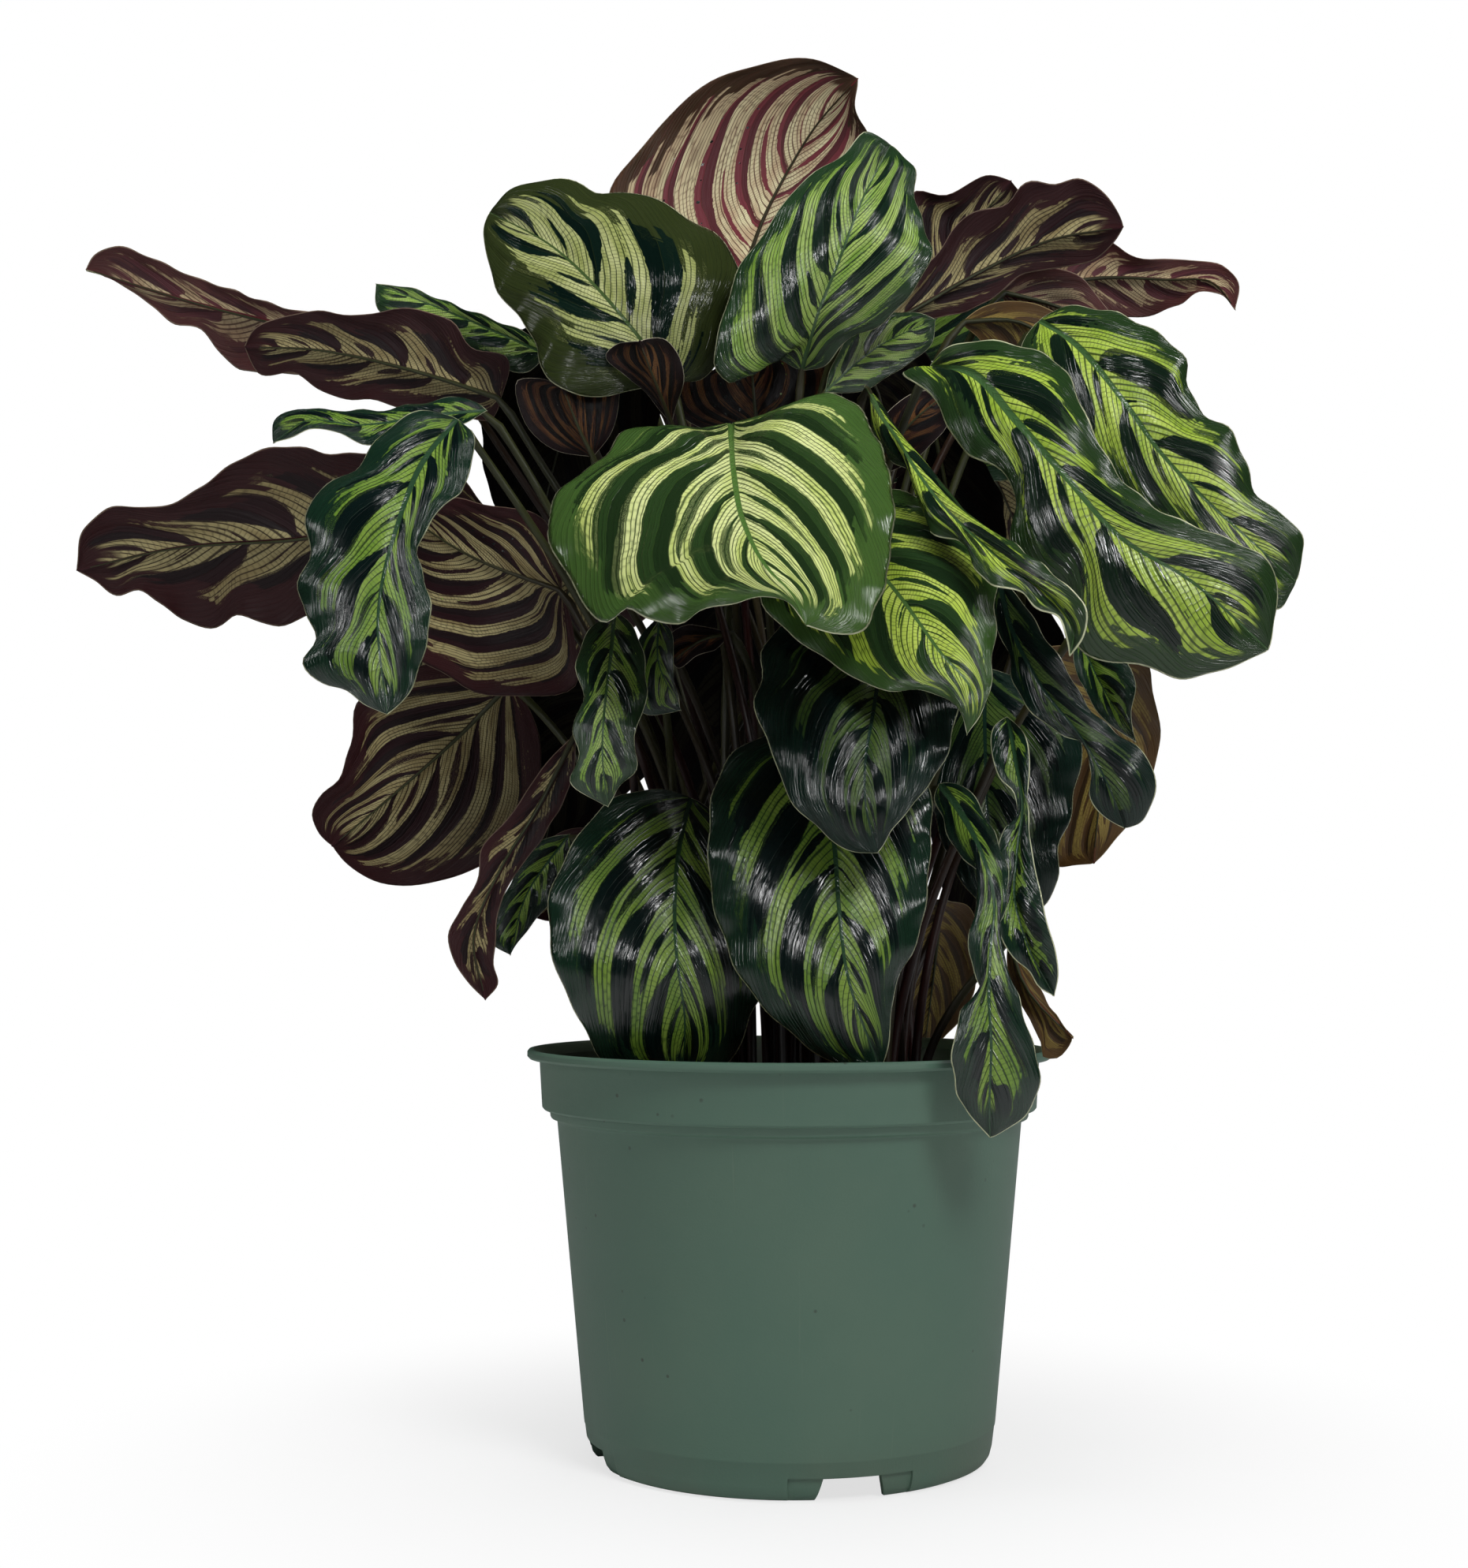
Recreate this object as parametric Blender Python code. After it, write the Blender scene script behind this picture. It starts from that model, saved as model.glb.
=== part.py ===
"""A potted peacock plant: its nursery pot, the soil and every leaf on its own stalk.

The origin is the middle of the pot's foot, on the ground, with +Z up and the front at -Y. Sizes below are
in millimetres, and each mesh is scaled to metres as it is made.

A leaf that shows from the front is drawn as it is seen from EYE: across and up on the upright plane through
the pot's middle, and depth behind that plane. sight() puts such a point at its real place. The leaves at the
back are drawn in the plant's own millimetres.
"""

import math
from dataclasses import dataclass
from enum import Enum

import bmesh
import bpy
import numpy as np
from mathutils.bvhtree import BVHTree

MM = 0.001

# The place that the front leaves are drawn from
EYE_DISTANCE = 1120.0
EYE_HEIGHT = 254.0

# Pot
RIM_HEIGHT = 195.0
RIM_RADIUS = 127.5
POT_FACETS = 48
FLOOR_TOP = 13.2
MIDDLE_TOP = 2.6
POT_OUTSIDE = (
    (0.0, 0.0), (52.0, 0.0), (55.0, 10.6), (93.4, 10.6), (89.8, 0.0),
    (92.8, 0.0), (99.6, 18.0), (112.8, 160.5), (113.9, 163.0),
    (116.4, 165.0), (120.4, 169.0), (121.2, 190.5), (RIM_RADIUS, 191.5), (RIM_RADIUS, 194.0),
)
POT_INSIDE = (
    (126.5, RIM_HEIGHT), (123.8, RIM_HEIGHT), (118.9, 190.0), (118.2, 171.0), (111.6, 163.0),
    (110.7, 158.0), (97.6, 19.0), (95.4, FLOOR_TOP), (52.4, FLOOR_TOP), (49.4, MIDDLE_TOP), (0.0, MIDDLE_TOP),
)
NOTCH_WIDTH = 27.0
NOTCH_HEIGHT = 10.0
NOTCH_TURN = math.radians(17.0)
NOTCH_COUNT = 4
NOTCH_INNER = 78.0
NOTCH_OUTER = 108.0
CUTTER_EXTRA = 5.0

# Soil
SOIL_TOP = 162.0
SOIL_FACETS = 32
FIT = 0.35
SOIL_OUTSIDE = (
    (0.0, MIDDLE_TOP + FIT), (49.0, MIDDLE_TOP + FIT), (52.0, FLOOR_TOP + FIT), (94.6, FLOOR_TOP + FIT),
    (97.0, 19.2), (110.1, 158.0), (110.6, SOIL_TOP), (0.0, SOIL_TOP),
)
HOLE_DEPTH = 12.0
HOLE_SIDES = 6

# Leaves
BLADE_THICKNESS = 0.8
STALK_FOOT_RADIUS = 2.4
STALK_NECK_RADIUS = 1.9
STALK_RINGS = 5
STALK_FOLLOWS_BLADE = 0.6
STALK_RISES = 0.8
STALK_NECK_BEND = 0.25
STALK_BOW_START = 4.0
NECK_SWELL = 1.15
NECK_ANGLES = (162, 126, 90, 54, 18, -18, -54, -90, -126, -162)
STALK_ANGLES = (144, 72, 0, -72, -144)
FIRST_ROW = 0.07
LAST_ROW = 0.93
ROW_LENGTH = 45.0
FEWEST_ROWS = 4
RIB_SAMPLES = 30
ACROSS = np.array([-1.0, -0.5, 0.0, 0.5, 1.0])
MIDDLE = len(ACROSS) // 2
ARCH = 0.10
WAVE_HEIGHT = 2.2
WAVE_LENGTH = 62.0
FEWEST_WAVES = 1.5
HALVES_APART = 2.1
PHASE_STEP = 2.4
BACK_BASE_FULLNESS = 0.8
BACK_FULLNESS = 0.7
SHARP_EDGE = math.radians(50.0)

# Feet of the stalks, on a sunflower spiral in the soil
FOOT_COUNT = 90
FOOT_SPREAD = 8.2
GOLDEN_ANGLE = math.radians(137.508)
FOOT_RING_LOW = 66.0
FOOT_RING_HIGH = 14.0
LOW_LEAF = 280.0
HIGH_LEAF = 560.0
FEET_TRIED = 32
BENDS_TRIED = (0.45, 0.25, 0.6)
STALK_CHECKS = 90
CLEARANCE = 1.3


class Side(Enum):
    """The side of a leaf that faces the front."""

    UPPER = 1
    UNDER = -1


@dataclass(frozen=True)
class FrontLeaf:
    """A leaf drawn from EYE: rib holds (across, up, depth) from the stalk to the tip, and one and two hold
    (across, up) along the two margins, or (across, up, push), push being how far behind its lean it lies.
    lean is how far each margin goes back for each millimetre of its reach, from the base to the tip."""

    name: str
    shows: Side
    rib: tuple
    one: tuple
    two: tuple
    lean: tuple = ((0.2,), (0.2,))
    arch: float = ARCH
    wave: float = WAVE_HEIGHT


@dataclass(frozen=True)
class BackLeaf:
    """A leaf drawn in place: rib holds (x, y, z) from the stalk to the tip, width is the whole width, up is
    the way that its upper side faces, and droop is how far its halves fall, as a slope."""

    name: str
    rib: tuple
    width: float
    up: tuple
    droop: float = 0.25
    arch: float = ARCH
    wave: float = 4.0


UPPER, UNDER = Side.UPPER, Side.UNDER

TOP_LEAVES = (
    FrontLeaf(
        "leaf_top_back", UNDER,
        rib=((-24, 572, 70), (-12, 608, 82), (0, 632, 86), (14, 655, 82), (36, 680, 65)),
        one=((-60, 570), (-92, 600), (-90, 622), (-78, 640), (-62, 658), (-48, 673), (-32, 682), (-9, 689),
             (14, 690)),
        two=((10, 565), (38, 595), (47, 630), (40, 651), (34, 666)),
        lean=((-0.3,), (-0.3,)),
    ),
    FrontLeaf(
        "leaf_top_left", UPPER,
        rib=((-58, 526, -25), (-71, 544, -35), (-93, 571, -35), (-118, 595, -20), (-150, 613, 0)),
        one=((-80, 521), (-104, 519), (-120, 527), (-126, 544), (-134, 559), (-145, 571), (-150, 588),
             (-153, 603)),
        two=((-42, 527, 6), (-33, 540, 8), (-29, 558, 5), (-24, 583), (-37, 603), (-56, 613),
             (-69, 620), (-96, 622), (-103, 627), (-118, 630), (-140, 624)),
        lean=((-0.2,), (0.25,)),
    ),
    FrontLeaf(
        "leaf_top_right", UPPER,
        rib=((7, 531, -12), (15, 560, -30), (27, 590, -35), (35, 612, -32), (52, 646, -15)),
        one=((-15, 540), (-30, 526), (-37, 533), (-36, 546), (-31, 563), (-24, 584), (-9, 605), (1, 620),
             (17, 634), (29, 642), (40, 653)),
        two=((18, 533), (27, 544), (48, 555), (63, 572), (72, 591), (69, 603), (64, 623), (64, 634),
             (58, 640)),
        lean=((-0.15,), (0.15,)),
    ),
    FrontLeaf(
        "leaf_right_top", UNDER,
        rib=((25, 543, 5), (60, 560, 20), (95, 580, 28), (130, 596, 30), (168, 603, 22)),
        one=((26, 556), (32, 562), (47, 568), (60, 575), (79, 595), (90, 610), (106, 614), (123, 627),
             (134, 625), (146, 628), (161, 617), (166, 609)),
        two=((36, 541), (50, 551), (74, 557), (90, 561), (106, 570), (116, 578), (134, 582), (154, 587),
             (163, 595)),
        lean=((-0.3,), (0.4,)),
    ),
    FrontLeaf(
        "leaf_right_top_rear", UNDER,
        rib=((62, 560, 75), (88, 598, 88), (112, 627, 82)),
        one=((52, 575), (55, 605), (64, 622), (80, 620), (101, 630)),
        two=((90, 570), (112, 595), (119, 616)),
        lean=((-0.2,), (0.2,)),
    ),
    FrontLeaf(
        "leaf_right_rear_tip", UNDER,
        rib=((125, 572, 70), (155, 577, 76), (190, 576, 72), (212, 574, 62), (223, 560, 55)),
        one=((132, 590), (148, 597), (161, 596), (168, 590), (180, 587), (200, 586), (217, 583),
             (224, 576)),
        two=((136, 564), (149, 562), (158, 559), (176, 557), (194, 563), (206, 569), (214, 569)),
        lean=((-0.3,), (0.3,)),
    ),
    FrontLeaf(
        "leaf_right_pink", UNDER,
        rib=((106, 570, 45), (140, 560, 58), (185, 515, 60)),
        one=((120, 581), (143, 579), (165, 555), (180, 535)),
        two=((112, 558), (125, 540), (150, 515), (170, 505)),
    ),
    FrontLeaf(
        "leaf_right_olive", UNDER,
        rib=((86, 555, 25), (115, 555, 32), (150, 520, 36), (168, 480, 34)),
        one=((98, 563), (118, 566), (135, 560), (155, 540), (170, 510)),
        two=((95, 547), (110, 530), (130, 500), (150, 480)),
    ),
)

RIGHT_LEAVES = (
    FrontLeaf(
        "leaf_right_lime_rear", UPPER,
        rib=((125, 556, -2), (144, 543, -18), (166, 516, -28), (188, 485, -32), (206, 466, -32),
             (236, 438, -26), (251, 424, -20)),
        one=((116, 542), (122, 520), (138, 498), (160, 470), (190, 448), (215, 430), (243, 411)),
        two=((138, 563), (155, 562), (166, 559), (174, 554), (190, 544), (198, 536), (200, 524), (206, 509),
             (218, 500), (226, 485), (233, 468), (250, 453), (254, 446), (254, 437)),
        lean=((0.1,), (0.35,)),
    ),
    FrontLeaf(
        "leaf_right_lime_front", UPPER,
        rib=((70, 532, -62), (94, 528, -88), (112, 507, -102), (137, 478, -112), (163, 448, -114),
             (200, 424, -108), (237, 390, -95)),
        one=((57, 530), (70, 520), (80, 502), (90, 488), (103, 482), (112, 470), (110, 451), (113, 438),
             (123, 427), (136, 422), (140, 414), (143, 392), (158, 384), (171, 384), (193, 376), (207, 378),
             (224, 384)),
        two=((77, 541), (90, 545), (111, 544), (134, 536), (150, 502), (158, 487), (171, 472), (191, 456),
             (216, 446), (234, 438), (241, 429), (241, 414), (239, 400)),
        lean=((0.22,), (0.25,)),
    ),
    FrontLeaf(
        "leaf_right_strip", UPPER,
        rib=((38, 524, -12), (52, 500, -72), (77, 463, -108), (105, 436, -124), (132, 415, -128),
             (141, 401, -128), (139, 387, -126)),
        one=((42, 517), (43, 500), (53, 484), (67, 475), (68, 460), (73, 448), (87, 444), (92, 433),
             (100, 423), (116, 419), (123, 411), (133, 407), (137, 397)),
        two=((48, 512), (58, 492), (71, 476), (83, 463), (98, 450), (112, 443), (133, 427), (148, 410),
             (146, 397)),
        lean=((-0.3,), (-0.3,)),
        wave=0.8,
    ),
    FrontLeaf(
        "leaf_right_folded", UPPER,
        rib=((104, 428, -42), (111, 400, -62), (126, 371, -76), (145, 346, -86), (158, 322, -86),
             (165, 302, -80)),
        one=((100, 410), (108, 390), (112, 373), (122, 358), (134, 349), (144, 344), (149, 333), (148, 318),
             (155, 308)),
        two=((118, 412), (128, 395), (136, 384), (141, 374), (150, 361), (160, 351), (172, 342), (180, 330),
             (179, 315), (174, 306)),
        lean=((0.5, 0.2), (-0.5, 0.1)),
        wave=1.2,
    ),
    FrontLeaf(
        "leaf_right_curl", UPPER,
        rib=((142, 400, -20), (155, 372, -34), (171, 345, -40)),
        one=((141, 385), (147, 368), (158, 354)),
        two=((152, 394), (165, 387), (171, 374), (169, 358)),
        lean=((-0.6,), (-0.6,)),
        wave=0.8,
    ),
    FrontLeaf(
        "leaf_right_backlit", UNDER,
        rib=((125, 392, 32), (152, 345, 46), (150, 285, 42)),
        one=((120, 370), (118, 335), (124, 302), (131, 284), (141, 284)),
        two=((145, 393), (165, 389), (177, 384), (180, 370), (184, 352), (179, 330), (169, 307), (160, 296),
             (155, 290)),
    ),
    FrontLeaf(
        "leaf_right_dark", UPPER,
        rib=((97, 382, 22), (97, 345, 12), (98, 310, 6), (107, 260, 6)),
        one=((84, 376), (72, 358), (68, 335), (72, 308), (80, 285), (94, 266)),
        two=((112, 378), (134, 366), (145, 345), (144, 333), (141, 318), (138, 305), (132, 292), (132, 277),
             (126, 265)),
        lean=((0.15,), (0.2,)),
    ),
    FrontLeaf(
        "leaf_right_twisted", UPPER,
        rib=((108, 358, -54), (112, 335, -72), (115, 312, -84), (112, 290, -89), (111, 268, -92),
             (116, 248, -92), (130, 220, -86)),
        one=((101, 352), (100, 340), (104, 327), (111, 319), (112, 309), (106, 301), (103, 292), (107, 279),
             (102, 267), (103, 252), (110, 239), (118, 232), (122, 225)),
        two=((116, 350), (119, 338), (118, 322), (118, 310), (119, 298), (121, 285), (124, 270), (127, 255),
             (131, 242), (132, 229)),
        lean=((-0.5,), (-0.4,)),
        wave=0.6,
    ),
)

LOW_LEAVES = (
    FrontLeaf(
        "leaf_front_centre", UPPER,
        rib=((-28, 505, -25), (-27, 482, -80), (-22, 455, -130), (-10, 432, -170), (4, 416, -187),
             (9, 403, -192)),
        one=((-52, 500), (-85, 500), (-92, 488), (-108, 475), (-118, 462), (-120, 450), (-115, 437),
             (-107, 425), (-100, 411), (-88, 403), (-80, 411), (-70, 407), (-55, 405), (-42, 412),
             (-25, 414), (-12, 417), (-1, 415)),
        two=((-15, 508), (2, 513), (20, 518), (33, 515), (42, 503), (48, 490), (51, 475), (53, 460),
             (51, 440), (49, 425), (43, 411), (37, 400), (24, 399)),
        lean=((0.25,), (0.25,)),
    ),
    FrontLeaf(
        "leaf_front_right", UPPER,
        rib=((25, 458, -60), (40, 436, -86), (55, 418, -106), (75, 390, -126), (91, 369, -132),
             (92, 358, -132), (88, 348, -130)),
        one=((5, 452), (-12, 432), (-12, 412), (0, 400), (20, 386), (32, 377), (50, 370), (70, 370),
             (79, 366), (86, 357)),
        two=((45, 470), (75, 462), (96, 445), (104, 425), (102, 410), (103, 398), (101, 385), (100, 370),
             (96, 361)),
        lean=((0.2,), (0.35,)),
    ),
    FrontLeaf(
        "leaf_front_hanging", UPPER,
        rib=((48, 402, -52), (46, 385, -82), (42, 360, -106), (38, 335, -118), (38, 315, -122),
             (44, 290, -118)),
        one=((20, 408), (-5, 402), (-13, 392), (-13, 380), (-17, 368), (-15, 356), (-10, 345), (-6, 335),
             (1, 316), (12, 305), (20, 297), (32, 291)),
        two=((68, 402), (80, 388), (84, 368), (81, 350), (77, 335), (70, 325), (60, 312), (51, 302),
             (48, 296)),
    ),
    FrontLeaf(
        "leaf_low_right", UPPER,
        rib=((14, 348, -56), (18, 322, -74), (22, 300, -87), (25, 262, -100), (28, 235, -104),
             (45, 183, -98)),
        one=((-5, 350), (-28, 340), (-37, 322), (-39, 300), (-39, 282), (-38, 268), (-33, 250), (-27, 235),
             (-15, 218), (0, 203), (12, 193), (27, 185)),
        two=((35, 350), (58, 342), (69, 325), (71, 305), (70, 290), (68, 272), (64, 250), (60, 240),
             (52, 222), (50, 205), (48, 193)),
    ),
    FrontLeaf(
        "leaf_low_left", UPPER,
        rib=((-48, 318, -28), (-53, 298, -50), (-56, 268, -68), (-55, 240, -76), (-51, 210, -72),
             (-52, 181, -60)),
        one=((-62, 322), (-85, 318), (-97, 307), (-110, 288), (-117, 275), (-119, 265), (-118, 250),
             (-114, 232), (-108, 220), (-101, 206), (-93, 190), (-75, 181)),
        two=((-36, 310), (-22, 295), (-12, 270), (-9, 245), (-12, 225), (-17, 213), (-21, 203), (-27, 190),
             (-38, 182)),
        lean=((0.15,), (0.15,)),
    ),
    FrontLeaf(
        "leaf_low_over_rim", UPPER,
        rib=((74, 325, -60), (85, 310, -86), (95, 290, -106), (101, 268, -114), (99, 245, -119),
             (98, 222, -121), (99, 195, -121), (98, 170, -118), (98, 151, -114)),
        one=((72, 316), (77, 306), (79, 297), (84, 289), (91, 282), (93, 268), (90, 253), (88, 243),
             (91, 232), (93, 222), (84, 212), (81, 200), (79, 190), (81, 180), (82, 172), (86, 165),
             (92, 158)),
        two=((85, 324), (98, 308), (105, 288), (107, 268), (104, 250), (108, 232), (113, 215), (117, 203),
             (122, 190), (123, 180), (121, 171), (117, 164), (110, 158), (104, 154)),
        lean=((-0.2, 0.1), (0.2,)),
    ),
    FrontLeaf(
        "leaf_low_dry", UNDER,
        rib=((108, 250, -55), (117, 224, -68), (139, 200, -74)),
        one=((115, 240), (122, 227), (129, 214)),
        two=((107, 234), (112, 218), (120, 206), (124, 198), (124, 191), (131, 190), (136, 195)),
    ),
    FrontLeaf(
        "leaf_low_behind_pot", UNDER,
        rib=((75, 268, 75), (72, 238, 128), (66, 192, 152)),
        one=((60, 264), (50, 240), (48, 215), (56, 195)),
        two=((90, 262), (94, 245), (92, 228), (86, 212), (76, 200)),
        lean=((-0.1,), (-0.1,)),
    ),
)

LEFT_LEAVES = (
    FrontLeaf(
        "leaf_left_hanging", UPPER,
        rib=((-165, 508, -51), (-184, 483, -71), (-193, 460, -84), (-204, 410, -96), (-199, 359, -96)),
        one=((-182, 512), (-203, 501), (-216, 484), (-237, 467), (-240, 457), (-239, 438), (-246, 423),
             (-241, 411), (-235, 398), (-241, 386), (-230, 374), (-219, 371), (-210, 364)),
        two=((-157, 500), (-159, 481), (-163, 470), (-172, 463), (-183, 445), (-178, 413), (-183, 382),
             (-190, 367)),
        lean=((0.2,), (0.3,)),
    ),
    FrontLeaf(
        "leaf_left_far", UNDER,
        rib=((-150, 462, 22), (-190, 458, 32), (-240, 448, 38), (-307, 443, 40), (-356, 432, 32)),
        one=((-165, 480), (-190, 490), (-210, 491), (-226, 491), (-251, 494), (-270, 490), (-285, 481),
             (-300, 470), (-313, 464), (-341, 463), (-352, 454)),
        two=((-165, 440), (-190, 420), (-215, 409), (-239, 409), (-252, 404), (-262, 406), (-275, 409),
             (-286, 402), (-302, 407), (-314, 416), (-324, 422), (-335, 419), (-347, 427)),
        lean=((-0.5,), (0.5,)),
    ),
    FrontLeaf(
        "leaf_left_inner", UNDER,
        rib=((-112, 421, -4), (-157, 438, -6), (-200, 466, -8)),
        one=((-113, 440), (-118, 452), (-128, 461), (-145, 463), (-160, 467), (-176, 469), (-190, 470)),
        two=((-107, 402), (-105, 374), (-138, 368), (-157, 371), (-170, 379), (-183, 386), (-200, 410),
             (-207, 440)),
        lean=((-0.15,), (0.05,)),
    ),
    FrontLeaf(
        "leaf_left_low", UNDER,
        rib=((-138, 375, 28), (-166, 346, 34), (-193, 322, 34), (-226, 294, 28)),
        one=((-150, 386), (-175, 386), (-198, 378), (-213, 366), (-218, 342), (-223, 328), (-231, 320),
             (-236, 309), (-233, 301)),
        two=((-127, 360), (-122, 335), (-125, 310), (-138, 292), (-153, 284), (-168, 278), (-190, 274),
             (-206, 277), (-219, 286)),
        lean=((-0.4,), (0.4,)),
    ),
    FrontLeaf(
        "leaf_left_narrow", UNDER,
        rib=((-105, 350, -18), (-125, 310, -28), (-143, 280, -36), (-155, 248, -38), (-149, 218, -36)),
        one=((-119, 336), (-140, 306), (-152, 291), (-153, 279), (-162, 263), (-168, 250), (-165, 238),
             (-158, 227)),
        two=((-106, 330), (-120, 300), (-138, 274), (-143, 262), (-144, 250), (-145, 236), (-143, 226)),
        wave=1.0,
    ),
    FrontLeaf(
        "leaf_left_small_tip", UPPER,
        rib=((-108, 300, 4), (-130, 268, 0), (-137, 240, -2)),
        one=((-124, 296), (-140, 270), (-146, 246)),
        two=((-104, 285), (-119, 264), (-132, 248)),
        wave=1.0,
    ),
    FrontLeaf(
        "leaf_left_purple_low", UNDER,
        rib=((-90, 302, 42), (-114, 280, 48), (-128, 259, 44)),
        one=((-105, 303), (-125, 291), (-133, 272)),
        two=((-88, 280), (-100, 264), (-115, 257)),
        wave=1.0,
    ),
    FrontLeaf(
        "leaf_inner_left", UPPER,
        rib=((-86, 412, -62), (-88, 388, -84), (-91, 362, -98), (-92, 340, -100), (-89, 313, -94)),
        one=((-97, 403), (-105, 384), (-102, 365), (-108, 352), (-103, 340), (-108, 326), (-100, 319)),
        two=((-76, 401), (-70, 378), (-71, 362), (-76, 350), (-75, 332), (-84, 322)),
        lean=((0.1,), (0.1,)),
        wave=1.2,
    ),
    FrontLeaf(
        "leaf_inner_small", UPPER,
        rib=((-64, 408, -38), (-64, 384, -50), (-53, 361, -54)),
        one=((-72, 400), (-76, 380), (-71, 359)),
        two=((-57, 398), (-57, 384), (-55, 371)),
        wave=0.8,
    ),
    FrontLeaf(
        "leaf_inner_curl", UNDER,
        rib=((-28, 399, -18), (-42, 396, -26), (-58, 385, -28)),
        one=((-38, 402), (-50, 404), (-59, 398)),
        two=((-36, 391), (-46, 388), (-55, 382)),
        wave=0.8,
    ),
    FrontLeaf(
        "leaf_left_top_far", UNDER,
        rib=((-168, 532, 42), (-230, 550, 54), (-300, 568, 58), (-354, 585, 50)),
        one=((-185, 548), (-220, 560), (-250, 564), (-272, 572), (-300, 581), (-325, 593), (-339, 597),
             (-350, 592)),
        two=((-190, 528), (-230, 530), (-265, 532), (-275, 533), (-287, 543), (-295, 554), (-308, 557),
             (-320, 566), (-336, 577), (-347, 583)),
        lean=((-0.4,), (0.4,)),
    ),
    FrontLeaf(
        "leaf_left_top", UNDER,
        rib=((-143, 518, 4), (-190, 533, 8), (-235, 543, 8), (-273, 545, 4)),
        one=((-140, 539), (-156, 543), (-170, 558), (-185, 563), (-199, 564), (-210, 561), (-236, 563),
             (-254, 560), (-269, 553)),
        two=((-147, 508), (-165, 509), (-190, 512), (-204, 517), (-226, 519), (-236, 523), (-247, 531),
             (-265, 531)),
        lean=((-0.35,), (0.35,)),
    ),
    FrontLeaf(
        "leaf_left_top_rear", UPPER,
        rib=((-120, 540, 26), (-165, 560, 34), (-207, 577, 34)),
        one=((-125, 547), (-146, 557), (-167, 566), (-188, 574)),
        two=((-130, 531), (-155, 540), (-185, 553), (-206, 564)),
        lean=((0.4,), (-0.2,)),
        wave=1.0,
    ),
    FrontLeaf(
        "leaf_left_arching", UPPER,
        rib=((-150, 512, -30), (-175, 510, -42), (-215, 505, -52), (-242, 507, -54), (-258, 496, -50)),
        one=((-160, 518), (-178, 517), (-210, 512), (-232, 512), (-248, 513), (-258, 506)),
        two=((-160, 506), (-175, 501), (-195, 496), (-213, 495), (-224, 501), (-238, 503), (-250, 498)),
        lean=((0.8,), (-0.4,)),
        wave=0.8,
    ),
    FrontLeaf(
        "leaf_cup_left", UNDER,
        rib=((-97, 488, -30), (-105, 504, -40), (-112, 523, -46)),
        one=((-117, 492), (-132, 506), (-134, 528), (-124, 528)),
        two=((-88, 500), (-84, 522), (-88, 539), (-99, 532)),
        wave=0.8,
    ),
    FrontLeaf(
        "leaf_cup_upright", UNDER,
        rib=((-58, 505, -32), (-66, 526, -50), (-74, 547, -60)),
        one=((-68, 516), (-80, 529), (-91, 540), (-86, 545)),
        two=((-55, 515), (-52, 530), (-55, 541), (-62, 548)),
        wave=0.8,
    ),
    FrontLeaf(
        "leaf_cup_centre", UNDER,
        rib=((-15, 500, 16), (-17, 520, 8), (-19, 547, 6)),
        one=((-38, 501), (-55, 511), (-55, 529), (-37, 532), (-26, 543)),
        two=((8, 503), (26, 512), (25, 530), (-4, 545)),
        wave=1.0,
    ),
    FrontLeaf(
        "leaf_inner_glossy", UPPER,
        rib=((18, 520, -8), (45, 543, 0), (74, 557, 0)),
        one=((24, 538), (40, 556), (60, 561)),
        two=((35, 520), (55, 531), (72, 545)),
        wave=0.8,
    ),
    FrontLeaf(
        "leaf_inner_dark", UNDER,
        rib=((45, 478, -18), (60, 503, -26), (79, 519, -24)),
        one=((43, 494), (52, 512), (67, 521)),
        two=((56, 482), (70, 492), (80, 505)),
        wave=0.8,
    ),
)

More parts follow.
